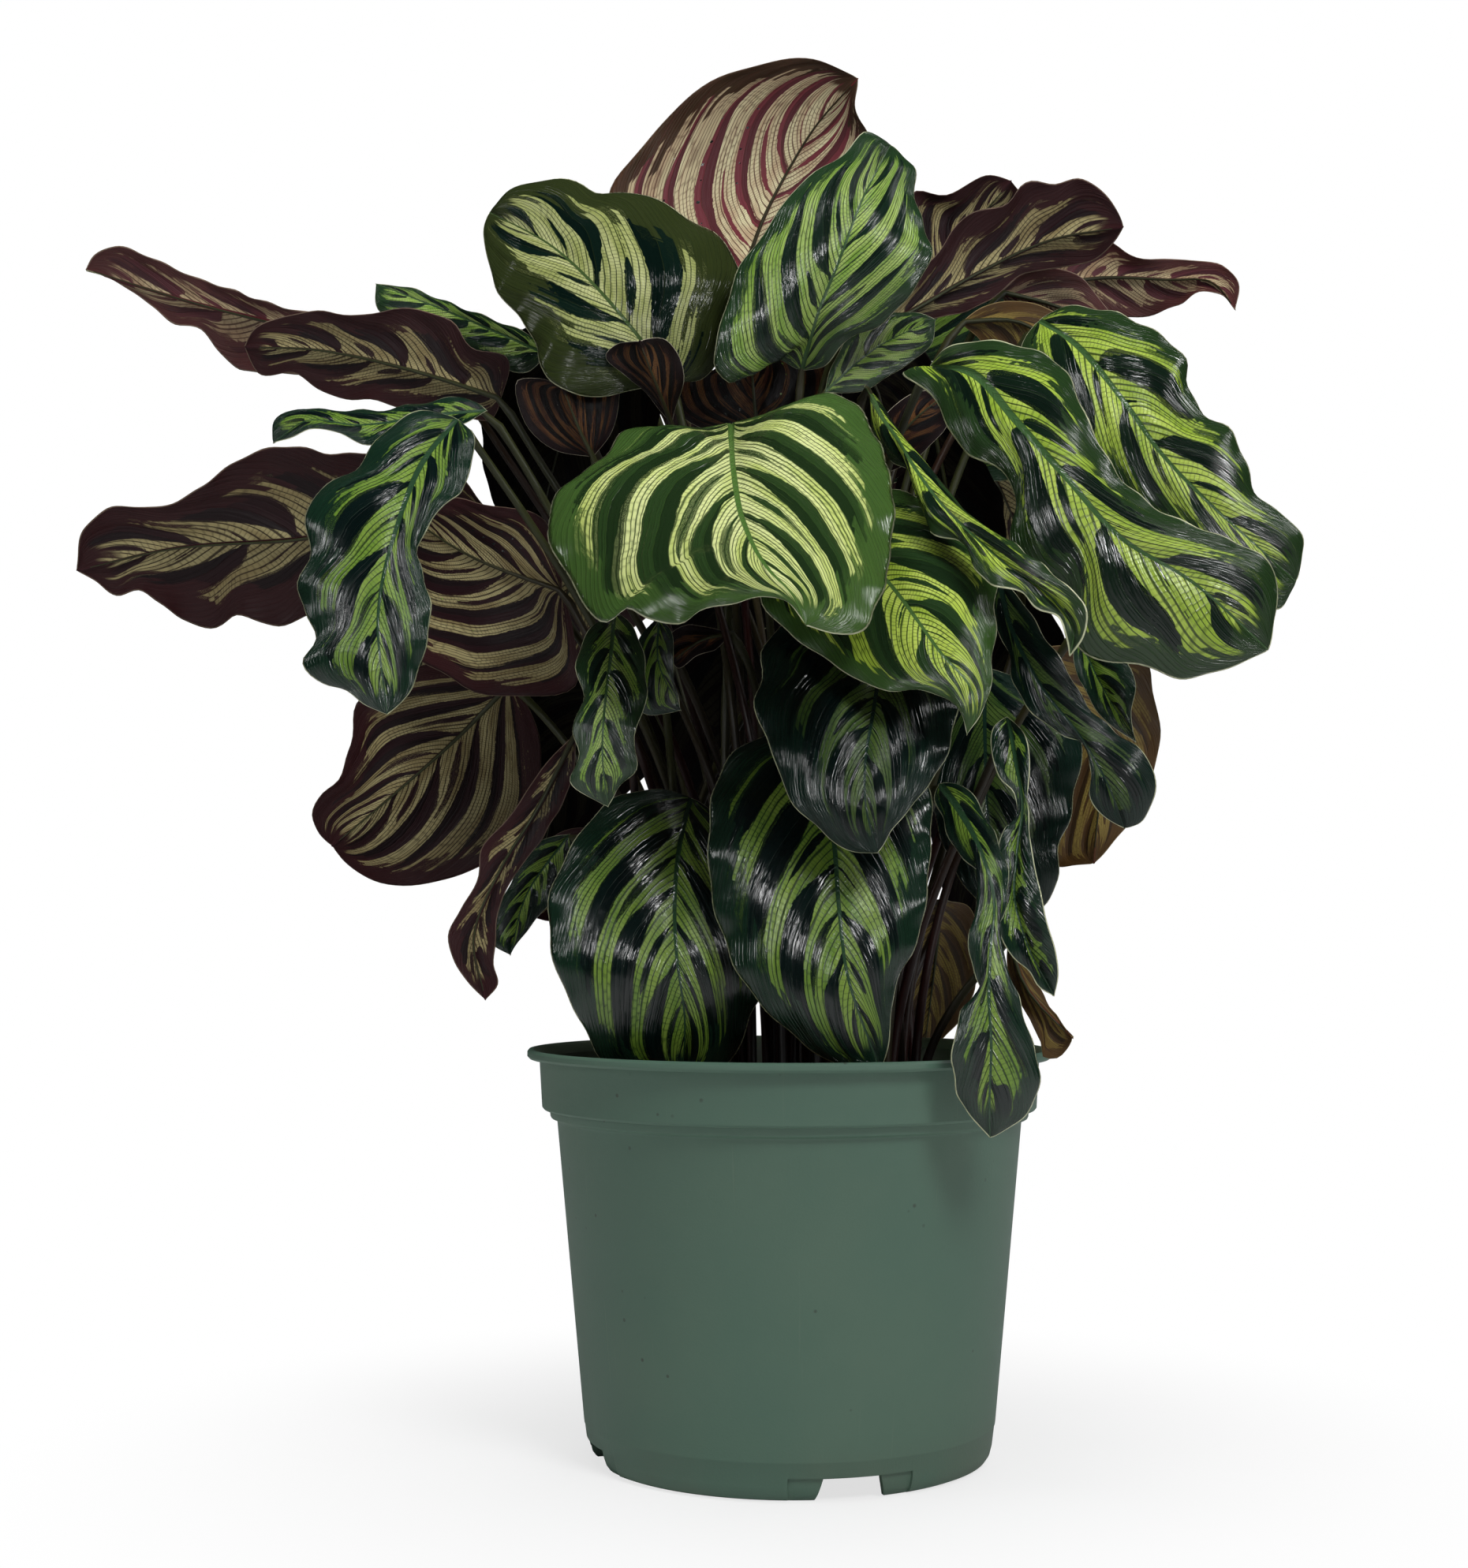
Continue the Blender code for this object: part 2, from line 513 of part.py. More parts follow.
BACK_LEAVES = (
    BackLeaf(
        "leaf_back_low_left", rib=((-80, 94, 384), (-112, 118, 368), (-136, 134, 296)),
        width=92, up=(-0.3, 0.9, 0.3),
    ),
    BackLeaf(
        "leaf_back_low_centre", rib=((-22, 92, 446), (-34, 132, 404), (-28, 172, 222)),
        width=86, up=(0.0, 0.95, 0.3),
    ),
    BackLeaf(
        "leaf_back_low_right", rib=((76, 68, 524), (86, 88, 484), (98, 106, 362)),
        width=62, up=(0.3, 0.9, 0.3),
    ),
    BackLeaf(
        "leaf_back_side_left", rib=((-115, 75, 400), (-175, 105, 425), (-225, 140, 368)),
        width=110, up=(-0.5, 0.3, 0.9),
    ),
    BackLeaf(
        "leaf_back_side_right", rib=((115, 60, 455), (185, 90, 480), (245, 120, 425)),
        width=110, up=(0.5, 0.3, 0.9),
    ),
    BackLeaf(
        "leaf_back_mid_left", rib=((-75, 110, 445), (-115, 180, 470), (-150, 245, 405)),
        width=120, up=(-0.2, 0.5, 0.9),
    ),
    BackLeaf(
        "leaf_back_mid_centre", rib=((0, 110, 420), (5, 185, 440), (15, 240, 365)),
        width=125, up=(0.0, 0.6, 0.8),
    ),
    BackLeaf(
        "leaf_back_mid_right", rib=((70, 110, 500), (110, 180, 525), (150, 250, 470)),
        width=115, up=(0.3, 0.5, 0.9),
    ),
    BackLeaf(
        "leaf_back_high_left", rib=((-75, 85, 540), (-135, 140, 584), (-195, 188, 558)),
        width=115, up=(-0.3, 0.3, 1.0),
    ),
    BackLeaf(
        "leaf_back_high_centre", rib=((-5, 105, 530), (-15, 180, 565), (-25, 250, 510)),
        width=125, up=(0.0, 0.5, 0.9),
    ),
    BackLeaf(
        "leaf_back_high_right", rib=((60, 100, 560), (110, 155, 615), (160, 205, 590)),
        width=110, up=(0.3, 0.3, 1.0),
    ),
    BackLeaf(
        "leaf_back_side_low", rib=((126, 110, 440), (122, 138, 384), (102, 164, 244)),
        width=82, up=(0.2, 0.9, 0.3),
    ),
    BackLeaf(
        "leaf_back_top", rib=((20, 105, 600), (35, 155, 655), (45, 205, 660)),
        width=110, up=(0.1, -0.2, 1.0),
    ),
    BackLeaf(
        "leaf_back_inner_left", rib=((-72, 50, 562), (-106, 70, 540), (-138, 84, 450)),
        width=98, up=(-0.2, 0.9, 0.3),
    ),
    BackLeaf(
        "leaf_back_inner_right", rib=((30, 32, 550), (43, 39, 537), (53, 46, 484)),
        width=66, up=(0.1, 0.9, 0.3), droop=0.1,
    ),
)

LEAVES = TOP_LEAVES + RIGHT_LEAVES + LOW_LEAVES + LEFT_LEAVES + BACK_LEAVES


# Finishes

def finish(name, colour, roughness):
    """A material with one Principled BSDF."""
    material = bpy.data.materials.new(name)
    material.use_nodes = True
    shader = material.node_tree.nodes["Principled BSDF"]
    shader.inputs["Base Color"].default_value = (*colour, 1.0)
    shader.inputs["Roughness"].default_value = roughness
    return material


# Curves and surfaces

def unit(vectors):
    """The vectors at length 1, and a vector with no length as it is."""
    return vectors / np.maximum(np.linalg.norm(vectors, axis=-1, keepdims=True), 1e-9)


def smooth_curve(points, fractions):
    """Points at fractions of the way along a smooth curve through points: one cubic between each two, whose
    ends take the slope of the points around them."""
    points = np.asarray(points, float)
    steps = np.linalg.norm(np.diff(points, axis=0), axis=1)
    knots = np.concatenate([[0.0], np.cumsum(steps)]) / steps.sum()
    slopes = np.gradient(points, knots, axis=0)
    piece = np.clip(np.searchsorted(knots, fractions, side="right") - 1, 0, len(steps) - 1)
    span = (knots[piece + 1] - knots[piece])[:, None]
    t = (np.asarray(fractions)[:, None] - knots[piece][:, None]) / span
    start, end = points[piece], points[piece + 1]
    leave, arrive = slopes[piece] * span, slopes[piece + 1] * span
    return (
        (2 * t**3 - 3 * t**2 + 1) * start
        + (t**3 - 2 * t**2 + t) * leave
        + (3 * t**2 - 2 * t**3) * end
        + (t**3 - t**2) * arrive
    )


def sight(drawn):
    """The real place of points drawn as (across, up, depth), moved along the line of sight from the eye."""
    nearer = 1 + drawn[:, 2] / EYE_DISTANCE
    return np.column_stack([
        drawn[:, 0] * nearer,
        drawn[:, 2],
        EYE_HEIGHT + (drawn[:, 1] - EYE_HEIGHT) * nearer,
    ])


def drawn_margin(leaf, points, lean, rib, fractions):
    """One margin of a front leaf, on its outline and as far behind the rib as its reach times its lean."""
    pushed = [(*point, 0.0)[:3] for point in points]
    ends = [(*leaf.rib[0][:2], 0.0), (*leaf.rib[-1][:2], 0.0)]
    outline = smooth_curve([ends[0], *pushed, ends[1]], fractions)
    reach = np.linalg.norm(outline[:, :2] - rib[:, :2], axis=1)
    slope = np.interp(fractions, np.linspace(0, 1, len(lean)), lean)
    depth = rib[:, 2] + slope * reach + outline[:, 2]
    return sight(np.column_stack([outline[:, :2], depth]))


def leaf_lines(leaf, fractions):
    """The rib and the two margins of a leaf at fractions of its length, and which way round they go."""
    if isinstance(leaf, FrontLeaf):
        rib = smooth_curve(leaf.rib, fractions)
        one = drawn_margin(leaf, leaf.one, leaf.lean[0], rib, fractions)
        two = drawn_margin(leaf, leaf.two, leaf.lean[1], rib, fractions)
        run = np.gradient(rib[:, :2], axis=0)
        wide = two[:, [0, 2]] - one[:, [0, 2]]
        turn = np.sign(np.sum(wide[:, 0] * run[:, 1] - wide[:, 1] * run[:, 0]))
        return sight(rib), one, two, turn * leaf.shows.value
    rib = smooth_curve(leaf.rib, fractions)
    run = unit(np.gradient(rib, axis=0))
    across = unit(np.cross(run, np.asarray(leaf.up, float)))
    up = np.cross(across, run)
    bulge = np.sin(math.pi * np.clip(fractions, 0, 1) ** BACK_BASE_FULLNESS) ** BACK_FULLNESS
    half = leaf.width / 2 * bulge
    slope = leaf.droop * half
    one = rib - across * half[:, None] - up * slope[:, None]
    two = rib + across * half[:, None] - up * slope[:, None]
    return rib, one, two, 1.0


def blade(leaf, along, across, phase):
    """The blade's middle surface, rows along it by columns across it, and the upper side's direction there.
    Each half arches up between the rib and its margin, and the margin waves."""
    rib, one, two, turn = leaf_lines(leaf, along)
    run = unit(np.gradient(rib, axis=0))
    surface = np.empty((len(along), len(across), 3))
    length = np.linalg.norm(np.diff(rib, axis=0), axis=1).sum()
    waves = max(FEWEST_WAVES, length / WAVE_LENGTH)
    for column, place in enumerate(across):
        edge = one if place < 0 else two
        half = edge - rib
        out = np.linalg.norm(half, axis=1, keepdims=True)
        up = unit(np.cross(run, half) if place < 0 else np.cross(half, run)) * turn
        reach = abs(place)
        lift = leaf.arch * out * 4 * reach * (1 - reach)
        beat = np.sin(2 * math.pi * waves * along + phase + (0.0 if place < 0 else HALVES_APART))
        ripple = leaf.wave * reach**2 * beat * np.sin(math.pi * along)
        surface[:, column] = rib + half * reach + up * (lift + ripple[:, None])
    over_rows = np.gradient(surface, axis=0)
    over_columns = np.gradient(surface, axis=1)
    return surface, unit(np.cross(over_columns, over_rows)) * turn


# Leaves on their stalks

def leaf_rows(leaf):
    """How far along a leaf each row of its blade lies, from its base to its tip."""
    rib = leaf_lines(leaf, np.linspace(0, 1, RIB_SAMPLES))[0]
    rows = FEWEST_ROWS + int(np.linalg.norm(np.diff(rib, axis=0), axis=1).sum() / ROW_LENGTH)
    return np.concatenate([[0.0], np.linspace(FIRST_ROW, LAST_ROW, rows), [1.0]])


def stalk_path(surface, foot, bend):
    """Points down a stalk from the blade's base to the bottom of its hole: a bow that leaves the soil
    upright. The larger bend is, the longer it stays upright."""
    base = surface[0, MIDDLE]
    ground = np.array([*foot, SOIL_TOP + STALK_BOW_START])
    span = np.linalg.norm(base - ground)
    arrive = unit(unit(surface[1, MIDDLE] - base) * STALK_FOLLOWS_BLADE + np.array([0.0, 0.0, STALK_RISES]))
    neck = base - arrive * span * STALK_NECK_BEND
    bow = [base, neck, ground + np.array([0.0, 0.0, bend]) * span, ground]
    t = np.linspace(0, 1, STALK_RINGS)[:, None]
    path = (
        (1 - t) ** 3 * bow[0] + 3 * (1 - t) ** 2 * t * bow[1] + 3 * (1 - t) * t**2 * bow[2] + t**3 * bow[3]
    )
    return np.vstack([path, [*foot, SOIL_TOP - HOLE_DEPTH]])


def blades_tree(surfaces):
    """The blades as one tree that distances can be measured to."""
    points, faces = [], []
    for surface in surfaces:
        start, columns = len(points), surface.shape[1]
        points += surface.reshape(-1, 3).tolist()
        for row in range(len(surface) - 1):
            for column in range(columns - 1):
                corner = start + row * columns + column
                faces.append((corner, corner + 1, corner + columns + 1, corner + columns))
    return BVHTree.FromPolygons(points, faces)


def along_path(path):
    """Many points along a path, evenly spread."""
    lengths = np.concatenate([[0.0], np.cumsum(np.linalg.norm(np.diff(path, axis=0), axis=1))])
    places = np.linspace(0, lengths[-1], STALK_CHECKS)
    return np.column_stack([np.interp(places, lengths, path[:, axis]) for axis in range(3)])


def room_around(points, blades, planted):
    """The least room between a stalk through the points, and the other blades and the planted stalks."""
    reach = STALK_FOOT_RADIUS + BLADE_THICKNESS / 2
    room = min(blades.find_nearest(point)[3] for point in points.tolist()) - reach
    if len(planted):
        apart = np.linalg.norm(points[:, None] - planted[None], axis=2).min()
        room = min(room, apart - 2 * STALK_FOOT_RADIUS)
    return room


def plant_stalks(leaves, surfaces):
    """The path of each stalk. Of a sunflower spiral's free places it takes the nearest to below its leaf from
    which it clears the other leaves. The lower a leaf's base is, the further out its stalk stands."""
    number = np.arange(FOOT_COUNT) + 0.5
    radius = FOOT_SPREAD * np.sqrt(number)
    turn = GOLDEN_ANGLE * number
    free = list(np.column_stack([radius * np.cos(turn), radius * np.sin(turn)]))
    planted = np.empty((0, 3))
    paths = {}
    for leaf in leaves:
        surface = surfaces[leaf.name]
        base = surface[0, MIDDLE]
        height = (base[2] - LOW_LEAF) / (HIGH_LEAF - LOW_LEAF)
        ring = FOOT_RING_LOW + (FOOT_RING_HIGH - FOOT_RING_LOW) * min(max(height, 0.0), 1.0)
        wanted = unit(base[:2]) * ring
        blades = blades_tree([other for name, other in surfaces.items() if name != leaf.name])
        free.sort(key=lambda place: np.linalg.norm(place - wanted))
        most_room = -math.inf
        for tried in range(FEET_TRIED):
            for bend in BENDS_TRIED:
                path = stalk_path(surface, free[tried], bend)
                room = room_around(along_path(path), blades, planted)
                if room > most_room and most_room < CLEARANCE:
                    most_room, taken, paths[leaf.name] = room, tried, path
            if most_room >= CLEARANCE:
                break
        free.pop(taken)
        planted = np.vstack([planted, along_path(paths[leaf.name])])
    return paths


def ring_points(centre, side, normal, radius, angles):
    """Points round a centre at angles from side towards normal."""
    angles = np.radians(angles)[:, None]
    return centre + radius * (np.cos(angles) * side + np.sin(angles) * normal)


def leaf_points(surface, up, path):
    """The corners of a leaf as closed loops, from the tip of the blade down to the foot of its stalk: the
    tip's two points, each row's upper then under points, the neck's ten and each stalk ring's five."""
    half = up * BLADE_THICKNESS / 2
    upper, under = surface + half, surface - half
    thickness = up[-2, MIDDLE] * BLADE_THICKNESS / 2
    tip = np.array([surface[-1, MIDDLE] + thickness, surface[-1, MIDDLE] - thickness])
    loops = [np.concatenate([upper[row], under[row, ::-1]]) for row in range(len(surface) - 2, 0, -1)]

    through = unit(unit(surface[1, MIDDLE] - surface[0, MIDDLE]) + unit(path[0] - path[1]))
    side = surface[1, -1] - surface[1, 0]
    side = unit(side - through * (side @ through))
    normal = np.cross(side, through)
    if normal @ up[1, MIDDLE] < 0:
        normal = -normal
    loops.append(ring_points(path[0], side, normal, STALK_NECK_RADIUS * NECK_SWELL, NECK_ANGLES))
    ways = unit(np.gradient(path, axis=0))
    radii = np.linspace(STALK_NECK_RADIUS, STALK_FOOT_RADIUS, len(path))
    for centre, way, radius in zip(path[1:], ways[1:], radii[1:]):
        side = unit(side - way * (side @ way))
        flat = np.cross(side, way)
        normal = flat if flat @ normal > 0 else -flat
        loops.append(ring_points(centre, side, normal, radius, STALK_ANGLES))
    return tip, loops


def leaf_faces(loops):
    """Triangles over the tip, the loops and the foot. The two faces of the blade are split alike."""
    faces = []
    starts = np.cumsum([2] + [len(loop) for loop in loops])[:-1]
    wide = 2 * len(ACROSS)
    first = int(starts[0])
    for point in range(wide):
        after = (point + 1) % wide
        tip = 0 if point < len(ACROSS) else 1
        if point == len(ACROSS) - 1:
            faces += [(first + point, first + after, 0), (first + after, 1, 0)]
        elif point == wide - 1:
            faces += [(first + point, first + after, 1), (first + after, 0, 1)]
        else:
            faces.append((first + point, first + after, tip))
    for loop, start in enumerate(starts[:-1]):
        start, below = int(start), int(starts[loop + 1])
        count, fewer = len(loops[loop]), len(loops[loop + 1])
        for point in range(count):
            after = (point + 1) % count
            if fewer < count:
                if point % 2 == 0:
                    faces.append((start + point, below + point // 2, start + after))
                else:
                    low, next_low = point // 2, (point // 2 + 1) % fewer
                    faces.append((start + point, below + low, below + next_low))
                    faces.append((start + point, below + next_low, start + after))
                continue
            corners = [start + point, below + point, below + after, start + after]
            column = min(point, wide - 2 - point) if count == wide else 2
            if (column < 2) == (point < len(ACROSS)):
                corners = corners[1:] + corners[:1]
            faces += [(corners[0], corners[1], corners[2]), (corners[0], corners[2], corners[3])]
    last, sides = int(starts[-1]), len(loops[-1])
    faces += [(last, last + side, last + side + 1) for side in range(1, sides - 1)]
    return faces


# Meshes

def add_object(name, points, faces, material, smooth=True):
    """An object from points in millimetres, with its faces turned outwards."""
    mesh = bpy.data.meshes.new(name)
    mesh.from_pydata((np.asarray(points) * MM).tolist(), [], faces)
    shape = bmesh.new()
    shape.from_mesh(mesh)
    bmesh.ops.recalc_face_normals(shape, faces=shape.faces)
    shape.to_mesh(mesh)
    shape.free()
    if smooth:
        mesh.shade_smooth()
        mesh.set_sharp_from_angle(angle=SHARP_EDGE)
    mesh.materials.append(material)
    made = bpy.data.objects.new(name, mesh)
    bpy.context.scene.collection.objects.link(made)
    return made


def turned(name, profile, facets, material):
    """A solid of revolution. The profile holds (radius, height) from the axis below to the axis above."""
    points = [(0.0, 0.0, profile[0][1])]
    angles = [2 * math.pi * facet / facets for facet in range(facets)]
    for radius, height in profile[1:-1]:
        points += [(radius * math.cos(a), radius * math.sin(a), height) for a in angles]
    points.append((0.0, 0.0, profile[-1][1]))
    last = len(points) - 1
    rings = len(profile) - 2
    faces = []
    for facet in range(facets):
        after = (facet + 1) % facets
        faces.append((0, 1 + after, 1 + facet))
        top = 1 + (rings - 1) * facets
        faces.append((last, top + facet, top + after))
        for ring in range(rings - 1):
            low, high = 1 + ring * facets, 1 + (ring + 1) * facets
            faces.append((low + facet, low + after, high + after, high + facet))
    return add_object(name, points, faces, material)


def prism(centre, turn, width, depth, low, high):
    """The eight corners and six faces of an upright block, turned about the vertical."""
    points = []
    for height in (low, high):
        for x, y in ((-1, -1), (1, -1), (1, 1), (-1, 1)):
            along, out = x * width / 2, y * depth / 2
            points.append((
                centre[0] + along * math.cos(turn) - out * math.sin(turn),
                centre[1] + along * math.sin(turn) + out * math.cos(turn),
                height,
            ))
    faces = [(3, 2, 1, 0), (4, 5, 6, 7), (0, 1, 5, 4), (1, 2, 6, 5), (2, 3, 7, 6), (3, 0, 4, 7)]
    return points, faces


def cut(target, cutter):
    """Cuts the cutter out of the target and applies the cut."""
    modifier = target.modifiers.new("cut", "BOOLEAN")
    modifier.operation = "DIFFERENCE"
    modifier.object = cutter
    graph = bpy.context.evaluated_depsgraph_get()
    mesh = bpy.data.meshes.new_from_object(target.evaluated_get(graph))
    target.modifiers.clear()
    target.data = mesh
    bpy.data.objects.remove(cutter)


# The three kinds of piece

def build_pot(plastic):
    """The pot: a floor pressed down in its middle, a foot ring with drain notches, a tapered wall, a stepped
    collar and a lip."""
    pot = turned("pot", POT_OUTSIDE + POT_INSIDE, POT_FACETS, plastic)
    points, faces = [], []
    middle = (NOTCH_INNER + NOTCH_OUTER) / 2
    for notch in range(NOTCH_COUNT):
        turn = NOTCH_TURN + notch * 2 * math.pi / NOTCH_COUNT
        centre = (middle * math.sin(turn), -middle * math.cos(turn))
        depth = NOTCH_OUTER - NOTCH_INNER
        corners, sides = prism(centre, turn, NOTCH_WIDTH, depth, -CUTTER_EXTRA, NOTCH_HEIGHT)
        faces += [[corner + len(points) for corner in side] for side in sides]
        points += corners
    cut(pot, add_object("notches", points, faces, plastic, smooth=False))
    return pot


def build_soil(feet, earth):
    """The soil: a plug that fills the pot, with a plain hole for each stalk."""
    soil = turned("soil", SOIL_OUTSIDE, SOIL_FACETS, earth)
    radius = (STALK_FOOT_RADIUS + FIT) / math.cos(math.pi / HOLE_SIDES)
    points, faces = [], []
    for x, y in feet:
        start = len(points)
        for height in (SOIL_TOP - HOLE_DEPTH - FIT, SOIL_TOP + CUTTER_EXTRA):
            for side in range(HOLE_SIDES):
                angle = 2 * math.pi * side / HOLE_SIDES
                points.append((x + radius * math.cos(angle), y + radius * math.sin(angle), height))
        faces.append([start + side for side in reversed(range(HOLE_SIDES))])
        faces.append([start + HOLE_SIDES + side for side in range(HOLE_SIDES)])
        for side in range(HOLE_SIDES):
            after = (side + 1) % HOLE_SIDES
            low, high = start, start + HOLE_SIDES
            faces.append([low + side, low + after, high + after, high + side])
    cut(soil, add_object("stalk_holes", points, faces, earth, smooth=False))
    return soil


def build_leaf(name, surface, up, path, material):
    """A leaf: its blade and its stalk in one closed mesh."""
    tip, loops = leaf_points(surface, up, path)
    return add_object(name, np.vstack([tip, *loops]), leaf_faces(loops), material)


def main():
    """Clears the scene and builds the pot, the soil and the leaves."""
    for old in list(bpy.data.objects):
        bpy.data.objects.remove(old)
    plastic = finish("pot_plastic", (0.083, 0.149, 0.110), 0.45)
    earth = finish("potting_soil", (0.028, 0.018, 0.012), 0.95)
    front = finish("leaf_upper_side", (0.10, 0.20, 0.05), 0.32)
    back = finish("leaf_under_side", (0.11, 0.03, 0.04), 0.5)
    surfaces, ups = {}, {}
    for index, leaf in enumerate(LEAVES):
        surfaces[leaf.name], ups[leaf.name] = blade(leaf, leaf_rows(leaf), ACROSS, index * PHASE_STEP)
    paths = plant_stalks(LEAVES, surfaces)
    build_pot(plastic)
    build_soil([path[-1, :2] for path in paths.values()], earth)
    for leaf in LEAVES:
        shows_under = isinstance(leaf, FrontLeaf) and leaf.shows is Side.UNDER
        material = back if shows_under else front
        build_leaf(leaf.name, surfaces[leaf.name], ups[leaf.name], paths[leaf.name], material)


main()
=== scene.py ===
"""Looks of the potted peacock plant: its nursery pot, its soil and every leaf on its stalk.

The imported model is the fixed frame. Each of its nodes is replaced by a finer piece that keeps its form: the
leaves are drawn from the same lines as in the model, with more rows and columns, and their stalks run where
the model's do. Lengths are in millimetres until a mesh is made, and +Z is up with the front at -Y.
"""

from __future__ import annotations

import logging
import math
from dataclasses import dataclass
from enum import Enum

import bpy
import numpy as np
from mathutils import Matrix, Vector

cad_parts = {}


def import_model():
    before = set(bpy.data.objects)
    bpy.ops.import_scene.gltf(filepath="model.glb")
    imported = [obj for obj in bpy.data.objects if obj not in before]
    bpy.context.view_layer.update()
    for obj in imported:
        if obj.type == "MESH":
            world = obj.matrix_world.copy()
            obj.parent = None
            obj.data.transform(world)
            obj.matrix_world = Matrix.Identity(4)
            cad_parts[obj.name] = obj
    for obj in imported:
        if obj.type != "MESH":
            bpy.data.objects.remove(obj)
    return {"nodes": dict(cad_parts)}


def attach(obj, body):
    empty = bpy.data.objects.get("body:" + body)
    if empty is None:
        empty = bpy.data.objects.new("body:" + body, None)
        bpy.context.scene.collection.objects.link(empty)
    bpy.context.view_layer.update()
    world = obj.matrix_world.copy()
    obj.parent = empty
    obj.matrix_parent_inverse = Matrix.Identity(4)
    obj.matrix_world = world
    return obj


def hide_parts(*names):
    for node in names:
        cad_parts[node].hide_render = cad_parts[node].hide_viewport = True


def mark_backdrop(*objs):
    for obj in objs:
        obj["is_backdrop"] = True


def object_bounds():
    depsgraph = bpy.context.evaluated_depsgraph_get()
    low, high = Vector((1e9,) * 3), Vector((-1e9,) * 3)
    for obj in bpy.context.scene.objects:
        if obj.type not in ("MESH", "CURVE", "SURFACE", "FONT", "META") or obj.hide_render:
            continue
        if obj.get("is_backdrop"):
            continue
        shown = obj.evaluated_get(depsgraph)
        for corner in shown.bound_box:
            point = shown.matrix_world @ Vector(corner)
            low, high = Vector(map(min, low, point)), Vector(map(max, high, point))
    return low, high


LOG = logging.getLogger("peacock_plant")
MM = 0.001
FULL_TURN = 2 * math.pi
LEAST_LENGTH = 1e-9

# The place that the front leaves are drawn from, which is the camera's
EYE_DISTANCE = 1120.0
EYE_HEIGHT = 254.0

# How the model arches and waves a blade, in millimetres and radians
ARCH = 0.10
WAVE_HEIGHT = 2.2
BACK_WAVE_HEIGHT = 4.0
WAVE_LENGTH = 62.0
FEWEST_WAVES = 1.5
WAVE_LAG = 2.1
PHASE_STEP = 2.4

# The outline of a back leaf is a sine of the share of the length to the first power, raised to the second
BACK_OUTLINE = (0.8, 0.7)
BACK_DROOP = 0.25

# The rows of the model's blade, as shares of its length
FIRST_ROW = 0.07
LAST_ROW = 0.93
ROW_LENGTH = 45.0
FEWEST_ROWS = 4
MODEL_COLUMNS = (-1.0, -0.5, 0.0, 0.5, 1.0)
MODEL_LENGTH_STEPS = 30

# The model's stalks: their radii, the bends that it tries, how far over the soil a bow ends, how much it
# follows the rib and how much the upright where it meets the blade, and how long that end is
STALK_RINGS = 5
STALK_FOOT_RADIUS = 2.4
STALK_NECK_RADIUS = 1.9
STALK_BENDS = (0.45, 0.25, 0.6)
STALK_RISE = 4.0
STALK_ALONG_RIB = 0.6
STALK_UPRIGHT = 0.8
STALK_ARRIVAL = 0.25
SOIL_TOP = 162.0
HOLE_DEPTH = 12.0

# How far a side vein climbs towards the tip on its way to the margin, as shares of the widest half: its
# straight part and its bent part
VEINS = (1.1, 0.5)


class Side(Enum):
    """The side of a leaf that faces the front."""

    UPPER = 1
    UNDER = -1


@dataclass(frozen=True)
class FrontLeaf:
    """A leaf drawn from the eye: rib holds across, up and depth by turns, for the points from the stalk to
    the tip, and one and two hold across and up by turns, for the points along the two margins. lean is how
    far each margin goes back for each millimetre of its reach, as one number or from the base to the tip,
    and two_back is how much further back the first points of two are."""

    name: str
    shows: Side
    rib: tuple
    one: tuple
    two: tuple
    lean: tuple = (0.2, 0.2)
    two_back: tuple = ()
    arch: float = ARCH
    wave: float = WAVE_HEIGHT
    veins: tuple = VEINS


@dataclass(frozen=True)
class BackLeaf:
    """A leaf drawn in place: rib holds x, y and z by turns, for the points from the stalk to the tip, width
    is the whole width, up is the way that its upper side faces, and droop is how its halves slope down."""

    name: str
    rib: tuple
    width: float
    up: tuple
    droop: float = BACK_DROOP
    arch: float = ARCH
    wave: float = BACK_WAVE_HEIGHT
    veins: tuple = VEINS


UPPER, UNDER = Side.UPPER, Side.UNDER

